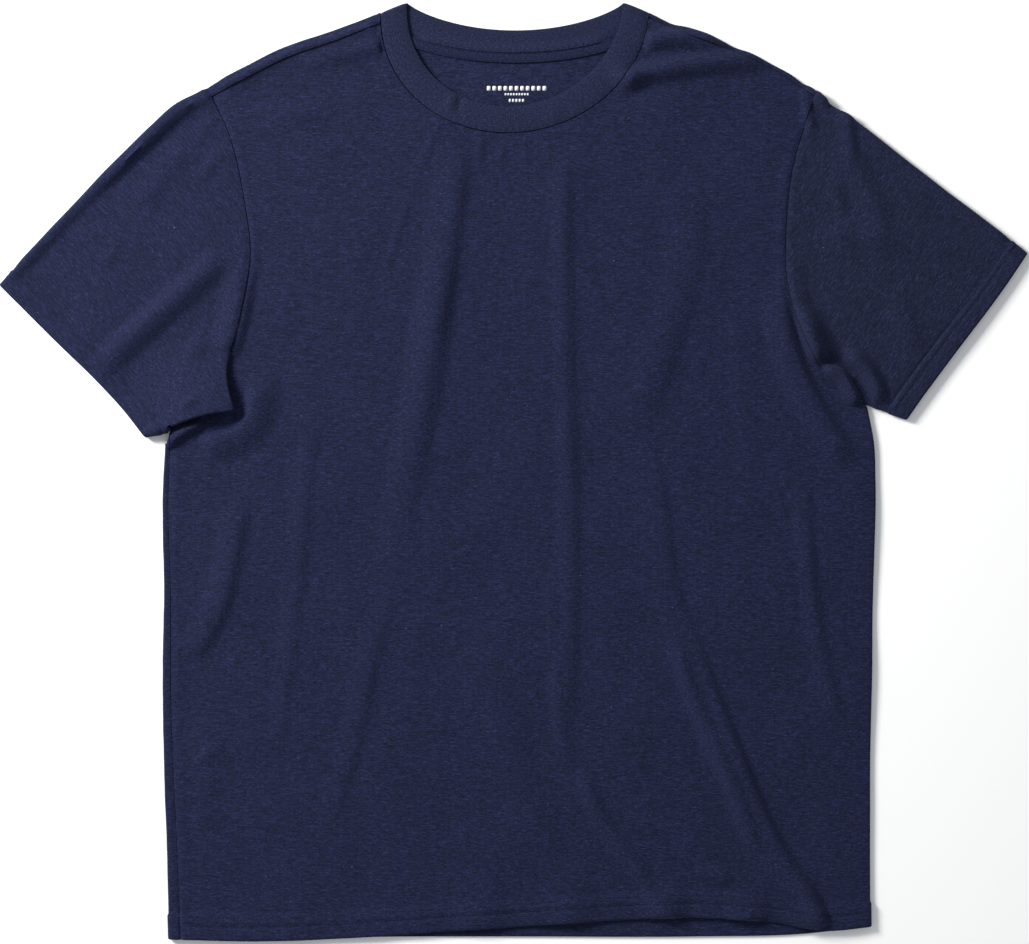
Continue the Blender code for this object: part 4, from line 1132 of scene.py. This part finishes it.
# Stitches: pitch, length and thickness of the thread
STITCH_PITCH = 3.0
STITCH_LENGTH = 2.3
THREAD_RADIUS = 0.22
THREAD_STANDS = 0.3 * THREAD_RADIUS  # how high its middle lies over the cloth
THREAD_SIDES = 6
BEAD_RINGS = ((-0.5, 0.35), (-0.38, 0.9), (0.0, 1.0), (0.38, 0.9), (0.5, 0.35))  # share of length, of radius
HEM_STITCHES = (10.9, 17.3)  # the two needles' distances from the edge of the hem
HEM_STITCH_CLEAR = {"right": 11, "left": 5}  # from the hem's corners, where the flanks' seams are
HEM_ROW_CELLS = 180
CUFF_ROW_CELLS = 60
CUFF_STITCHES = (10.8, 16.2)
TAPE_STITCHES = (1.2, 6.8)

# The marks printed inside the neck: rows of plain blocks
# middle x, middle y, blocks, block width, block height, pitch
PrintRow = namedtuple("PrintRow", "x y blocks width height pitch")
PRINT_ROWS = (
    PrintRow(2.5, 302.4, 11, 3.0, 3.6, 4.4),
    PrintRow(2.6, 297.7, 9, 1.5, 1.7, 2.2),
    PrintRow(2.4, 292.8, 5, 1.7, 2.4, 2.6),
)
PRINT_LIES = 0.02
PRINT_THICKNESS = 0.12
PRINT_STRAIGHT = 0.7  # share of a block's side between its cut corners

# Colours, linear
JERSEY_COLOUR = (0.0086, 0.0112, 0.0358)
LEFT_SLEEVE_COLOUR = (0.0091, 0.0117, 0.0338)
RIB_COLOUR = (0.0104, 0.0132, 0.0378)
TAPE_COLOUR = JERSEY_COLOUR

# Plain looks: colour, roughness
THREAD_LOOK = ((0.0050, 0.0065, 0.0190, 1.0), 0.9)
PRINT_LOOK = ((0.62, 0.63, 0.66, 1.0), 0.6)
FLOOR_LOOK = ((0.86, 0.86, 0.86, 1.0), 0.9)
PLAIN_SPECULAR = 0.1

# Knits: width of a wale, height of a course, length of the streaks, depth of the loops, and whether
# the pattern follows the piece's own places along and across it
Knit = namedtuple("Knit", "wale course streak loop_depth by_place")
JERSEY = Knit(0.95, 0.7, 5.5, 0.10, False)
RIB = Knit(1.3, 0.7, 2.5, 0.14, True)
TAPE = Knit(0.8, 0.8, 2.5, 0.10, True)

# Patterns of the yarn: length along the courses and width across them, and the noise's own settings
Pattern = namedtuple("Pattern", "along across detail roughness")
STREAKS = Pattern(JERSEY.streak, 0.85, 2.0, 0.6)
FLECK = Pattern(1.8, 0.75, 1.0, 0.5)
CLOUD = Pattern(60.0, 34.0, 3.0, 0.5)
SLUB = Pattern(1.7, 1.0, 0.0, 0.5)
FLECK_SHARE = 0.45
HEATHER = ((0.30, 0.28), (0.47, 0.83), (0.55, 1.14), (0.72, 2.7))  # stop, share of the colour
CLOUDS = ((0.3, 0.965), (0.7, 1.035))
SLUBS = ((0.90, (0.0, 0.0, 0.0)), (0.925, (0.10, 0.10, 0.12)))
LOOP_SLANT = 0.45
COURSE_HEIGHT = 0.3
LOOP_SHARE = 0.5  # of the relief, on top of the yarn's own
BUMP_STRENGTH = 0.5
RELIEF_RANGE = 4  # of the bump, in loop depths
KNIT_SURFACE = {
    "Roughness": 0.95,
    "Specular IOR Level": 0.15,
    "Sheen Weight": 0.08,
    "Sheen Roughness": 0.45,
    "Sheen Tint": (0.55, 0.60, 0.95, 1.0),
}

# The studio, in metres and watts
FLOOR_REACH = 6.0
FLOOR_BELOW = 0.0004
WORLD_COLOUR = (0.93, 0.96, 1.0, 1.0)
WORLD_STRENGTH = 0.51
AreaLight = namedtuple("AreaLight", "name place size power colour")
LIGHTS = (
    AreaLight("key", (-1.58, 1.02, 1.12), 0.65, 89.0, (1.0, 0.98, 0.95)),
    AreaLight("fill", (1.8, -1.6, 3.2), 3.0, 9.0, (0.95, 0.97, 1.0)),
)

# The shirt fills the picture: its middle and the width of the view over the cloth's top
VIEW_MIDDLE = (0.8, -0.8)
VIEW_WIDTH = 812.9
VIEW_HEIGHT = 2.0
LENS = 85.0
SENSOR = 36.0
CLIP_END = 20.0  # metres


def new_node(tree, kind, links=None, values=None, **settings):
    """Adds a shader node: links name the sockets that feed its inputs, values the fixed ones."""
    node = tree.nodes.new(kind)
    for name, value in settings.items():
        setattr(node, name, value)
    for name, value in (values or {}).items():
        node.inputs[name].default_value = value
    for name, socket in (links or {}).items():
        tree.links.new(socket, node.inputs[name])
    return node


def math_node(tree, operation, first, second=0.0, third=0.0):
    """A Math node on sockets or numbers."""
    node = tree.nodes.new("ShaderNodeMath")
    node.operation = operation
    for k, value in enumerate((first, second, third)):
        if isinstance(value, bpy.types.NodeSocket):
            tree.links.new(value, node.inputs[k])
        else:
            node.inputs[k].default_value = value
    return node.outputs[0]


def new_material(name, values):
    """A material whose shader has these fixed inputs, with its tree and its shader."""
    material = bpy.data.materials.new(name)
    material.use_nodes = True
    tree = material.node_tree
    shader = tree.nodes["Principled BSDF"]
    for socket, value in values.items():
        shader.inputs[socket].default_value = value
    return material, tree, shader


def plain_material(name, colour, roughness):
    values = {"Base Color": colour, "Roughness": roughness, "Specular IOR Level": PLAIN_SPECULAR}
    return new_material(name, values)[0]


def stretched(tree, place, turn, along, across):
    """Places for a pattern whose cells are along by across millimetres, turned about Z."""
    turned = new_node(tree, "ShaderNodeMapping", {"Vector": place}, {"Rotation": (0, 0, -turn)})
    scale = (1 / (along * MM), 1 / (across * MM), 1 / (across * MM))
    sized = new_node(tree, "ShaderNodeMapping", {"Vector": turned.outputs[0]}, {"Scale": scale})
    return sized.outputs[0]


def noise(tree, place, turn, pattern):
    cells = stretched(tree, place, turn, pattern.along, pattern.across)
    values = {"Scale": 1.0, "Detail": pattern.detail, "Roughness": pattern.roughness}
    return new_node(tree, "ShaderNodeTexNoise", {"Vector": cells}, values).outputs["Fac"]


def ramp(tree, value, stops):
    node = new_node(tree, "ShaderNodeValToRGB", {"Fac": value})
    elements = node.color_ramp.elements
    while len(elements) < len(stops):
        elements.new(0.5)
    for element, (position, colour) in zip(elements, stops):
        element.position = position
        element.color = (*colour, 1.0)
    return node.outputs["Color"]


def shade(colour, amount):
    return tuple(channel * amount for channel in colour)


def blend(tree, kind, first, second):
    links = {"A": first, "B": second}
    values = {"Factor": 1.0}
    node = new_node(tree, "ShaderNodeMix", links, values, data_type="RGBA", blend_type=kind)
    return node.outputs["Result"]


def knit_loops(tree, cells):
    """Height of the knit's V stitches, one to a cell: wales run across the courses."""
    parts = new_node(tree, "ShaderNodeSeparateXYZ", {"Vector": cells})
    wave = math_node(tree, "SINE", math_node(tree, "MULTIPLY", parts.outputs[0], math.pi))
    column = math_node(tree, "ABSOLUTE", wave)
    slant = math_node(tree, "MULTIPLY_ADD", column, LOOP_SLANT, parts.outputs[1])
    rows = math_node(tree, "SINE", math_node(tree, "MULTIPLY", slant, 2 * math.pi))
    return math_node(tree, "MULTIPLY_ADD", rows, COURSE_HEIGHT, column)


def knit_material(name, colour, knit=JERSEY, turn=0.0):
    """Heathered knit: streaks of lighter and darker yarn along the courses, pale slubs, and loops."""
    material, tree, shader = new_material(name, KNIT_SURFACE)
    if knit.by_place:
        place = new_node(tree, "ShaderNodeAttribute", attribute_name=PLACE_ATTRIBUTE).outputs["Vector"]
    else:
        place = new_node(tree, "ShaderNodeTexCoord").outputs["Object"]

    yarn = noise(tree, place, turn, STREAKS._replace(along=knit.streak))
    fleck = noise(tree, place, turn, FLECK)
    streaks = math_node(tree, "MULTIPLY", yarn, 1 - FLECK_SHARE)
    mixed = math_node(tree, "MULTIPLY_ADD", fleck, FLECK_SHARE, streaks)
    heather = ramp(tree, mixed, [(stop, shade(colour, amount)) for stop, amount in HEATHER])
    cloud = noise(tree, place, turn, CLOUD)
    clouds = ramp(tree, cloud, [(stop, (amount, amount, amount)) for stop, amount in CLOUDS])
    slubs = ramp(tree, noise(tree, place, turn, SLUB), SLUBS)
    knit_colour = blend(tree, "ADD", blend(tree, "MULTIPLY", heather, clouds), slubs)
    tree.links.new(knit_colour, shader.inputs["Base Color"])

    loops = knit_loops(tree, stretched(tree, place, turn, knit.wale, knit.course))
    links = {"Height": math_node(tree, "MULTIPLY_ADD", loops, LOOP_SHARE, mixed)}
    values = {"Strength": BUMP_STRENGTH, "Distance": knit.loop_depth * RELIEF_RANGE * MM}
    bump = new_node(tree, "ShaderNodeBump", links, values)
    tree.links.new(bump.outputs["Normal"], shader.inputs["Normal"])
    return material


def add_rings(points, faces, rings):
    """Adds a closed body made of rings of points that follow each other, each anticlockwise seen on."""
    first, sides = len(points), len(rings[0])
    last = first + (len(rings) - 1) * sides
    points.extend(point for ring in rings for point in ring)
    for start in range(first, last, sides):
        for k in range(sides):
            a, b = start + k, start + (k + 1) % sides
            faces.append((a, b, b + sides, a + sides))
    faces.append(tuple(first + k for k in reversed(range(sides))))
    faces.append(tuple(last + k for k in range(sides)))


def stitches(name, lines, material):
    """Threads along lines of 3-D points, in one mesh: each stitch is a short bead."""
    angles = [2 * math.pi * k / THREAD_SIDES for k in range(THREAD_SIDES)]
    points, faces = [], []
    for line in lines:
        reached = travelled(line)
        for middle in np.arange(STITCH_PITCH, reached[-1] - STITCH_PITCH / 2, STITCH_PITCH):
            start, end = (
                np.array([np.interp(middle + step, reached, line[:, k]) for k in range(3)])
                for step in (-STITCH_LENGTH / 2, STITCH_LENGTH / 2)
            )
            along = end - start
            across = np.cross((0.0, 0.0, 1.0), along)
            across /= np.linalg.norm(across)
            up = np.cross(along, across) / np.linalg.norm(along)
            rings = []
            for share, size in BEAD_RINGS:
                centre = (start + end) / 2 + along * share
                arms = [across * math.cos(angle) + up * math.sin(angle) for angle in angles]
                rings.append([centre + arm * THREAD_RADIUS * size for arm in arms])
            add_rings(points, faces, rings)
    return mesh_piece(name, np.array(points), faces, material)


def on_cloth(line, wall):
    """The line raised on to the front layer's upper skin, for a thread that lies on it."""
    top = front_height(line, wall) + wall / 2
    return raised(line, top + THREAD_STANDS)


def hem_stitch_rows():
    """Twin-needle rows along the front hem, clear of both side seams."""
    hem = between(HEM_CORNER["right"], FRONT_HEM_BY, HEM_CORNER["left"])
    low = HEM_CORNER["right"][0] + HEM_STITCH_CLEAR["right"]
    high = HEM_CORNER["left"][0] - HEM_STITCH_CLEAR["left"]
    rows = [evenly(offset(hem, distance), HEM_ROW_CELLS) for distance in HEM_STITCHES]
    return [row[(row[:, 0] > low) & (row[:, 0] < high)] for row in rows]


def cuff_stitch_rows(side):
    inwards = -1.0 if side == "right" else 1.0
    rows = [offset(cuff_curve(side), inwards * distance) for distance in CUFF_STITCHES]
    return [evenly(row, CUFF_ROW_CELLS)[1:-1] for row in rows]


def tape_stitch_rows():
    height = CLOTH_WALL + TAPE_LIFT + TAPE_WALL + THREAD_STANDS
    return [raised(offset(tape_top(TAPE_STITCH_CELLS), -distance), height) for distance in TAPE_STITCHES]


def neck_print(material):
    """Rows of plain blocks with cut corners on the inside of the back panel."""
    corner = [(PRINT_STRAIGHT, -1.0), (1.0, -PRINT_STRAIGHT)]
    outline = []
    for _ in range(4):
        outline.extend(corner)
        corner = [(-v, u) for u, v in corner]
    points, faces = [], []
    for row in PRINT_ROWS:
        for k in range(row.blocks):
            x = row.x + (k - (row.blocks - 1) / 2) * row.pitch
            block = [(x + u * row.width / 2, row.y + v * row.height / 2) for u, v in outline]
            heights = (CLOTH_WALL + PRINT_LIES, CLOTH_WALL + PRINT_THICKNESS)
            add_rings(points, faces, [[(*place, height) for place in block] for height in heights])
    return mesh_piece("neck_marks", np.array(points, float), faces, material)


def cuff_turn(side):
    """The angle of the sleeve's courses, which run along its cuff."""
    run = np.subtract(CUFF_OUTER[side], CUFF_INNER[side])
    return math.atan2(run[1], run[0])


def add_camera():
    lens = bpy.data.cameras.new("camera")
    lens.lens = LENS
    lens.sensor_width = SENSOR
    lens.sensor_fit = "HORIZONTAL"
    lens.clip_end = CLIP_END
    camera = new_object("camera", lens)
    height = VIEW_WIDTH * LENS / SENSOR + VIEW_HEIGHT
    camera.location = (VIEW_MIDDLE[0] * MM, VIEW_MIDDLE[1] * MM, height * MM)
    bpy.context.scene.camera = camera


def add_area_light(name, place, size, power, colour):
    light = bpy.data.lights.new(name, "AREA")
    light.size = size
    light.energy = power
    light.color = colour
    lamp = new_object(name, light)
    lamp.location = place
    lamp.rotation_mode = "QUATERNION"
    lamp.rotation_quaternion = lamp.location.to_track_quat("Z", "Y")


def add_stage():
    corners = np.array([(-1, -1, 0), (1, -1, 0), (1, 1, 0), (-1, 1, 0)]) * FLOOR_REACH / MM
    floor = mesh_piece("floor", corners, [(0, 1, 2, 3)], plain_material("floor", *FLOOR_LOOK))
    floor.location.z = -FLOOR_BELOW

    world = bpy.data.worlds.new("studio")
    world.use_nodes = True
    background = world.node_tree.nodes["Background"]
    background.inputs["Color"].default_value = WORLD_COLOUR
    background.inputs["Strength"].default_value = WORLD_STRENGTH
    bpy.context.scene.world = world
    for light in LIGHTS:
        add_area_light(*light)
    bpy.context.scene.view_settings.view_transform = "Standard"
    bpy.context.scene.view_settings.look = "None"


def add_cloths():
    """The six cloth pieces, each in place of its solid."""
    body = knit_material("jersey_body", JERSEY_COLOUR)
    right = knit_material("jersey_right_sleeve", JERSEY_COLOUR, turn=cuff_turn("right"))
    left = knit_material("jersey_left_sleeve", LEFT_SLEEVE_COLOUR, turn=cuff_turn("left"))
    rib = knit_material("rib", RIB_COLOUR, RIB)
    tape = knit_material("tape", TAPE_COLOUR, TAPE)

    band_cloth, band_places = neckband()
    tape_cloth, tape_places = neck_tape()
    # the piece, its node and slot, the width and length of its cut in metres, and its area
    sheets = (
        (thicken(front_panel(), "front_cloth", body), "front_panel", "jersey", (0.575, 0.735), 0.362),
        (thicken(back_panel(), "back_cloth", body), "back_panel", "jersey", (0.575, 0.755), 0.378),
        (thicken(sleeve("right"), "right_sleeve_cloth", right), "right_sleeve", "jersey", (0.4, 0.25), 0.066),
        (thicken(sleeve("left"), "left_sleeve_cloth", left), "left_sleeve", "jersey", (0.4, 0.25), 0.062),
        (thicken(band_cloth, "rib_band", rib, band_places), "neckband", "rib", (0.52, 0.021), None),
    )
    tape_piece = thicken(tape_cloth, "back_neck_tape", tape, tape_places)
    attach(tape_piece, "root")
    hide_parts("neck_tape")
    for piece, node, slot, flat, area in sheets:
        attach(piece, "root")
        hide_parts(node)


def add_stitching_and_print():
    thread = plain_material("thread", *THREAD_LOOK)
    rows = {
        "hem_stitches": [on_cloth(row, HEM_WALL) for row in hem_stitch_rows()],
        "right_cuff_stitches": [on_cloth(row, CLOTH_WALL) for row in cuff_stitch_rows("right")],
        "left_cuff_stitches": [on_cloth(row, CLOTH_WALL) for row in cuff_stitch_rows("left")],
        "tape_stitches": tape_stitch_rows(),
    }
    extras = [stitches(name, lines, thread) for name, lines in rows.items()]
    extras.append(neck_print(plain_material("ink", *PRINT_LOOK)))
    for piece in extras:
        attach(piece, "root")


for item in list(bpy.data.objects):
    if item.type in {"CAMERA", "LIGHT"}:
        bpy.data.objects.remove(item, do_unlink=True)
SEAMS = seam_lines()
STITCH_ROWS = hem_stitch_rows() + cuff_stitch_rows("right") + cuff_stitch_rows("left")
add_camera()
add_stage()
add_cloths()
add_stitching_and_print()
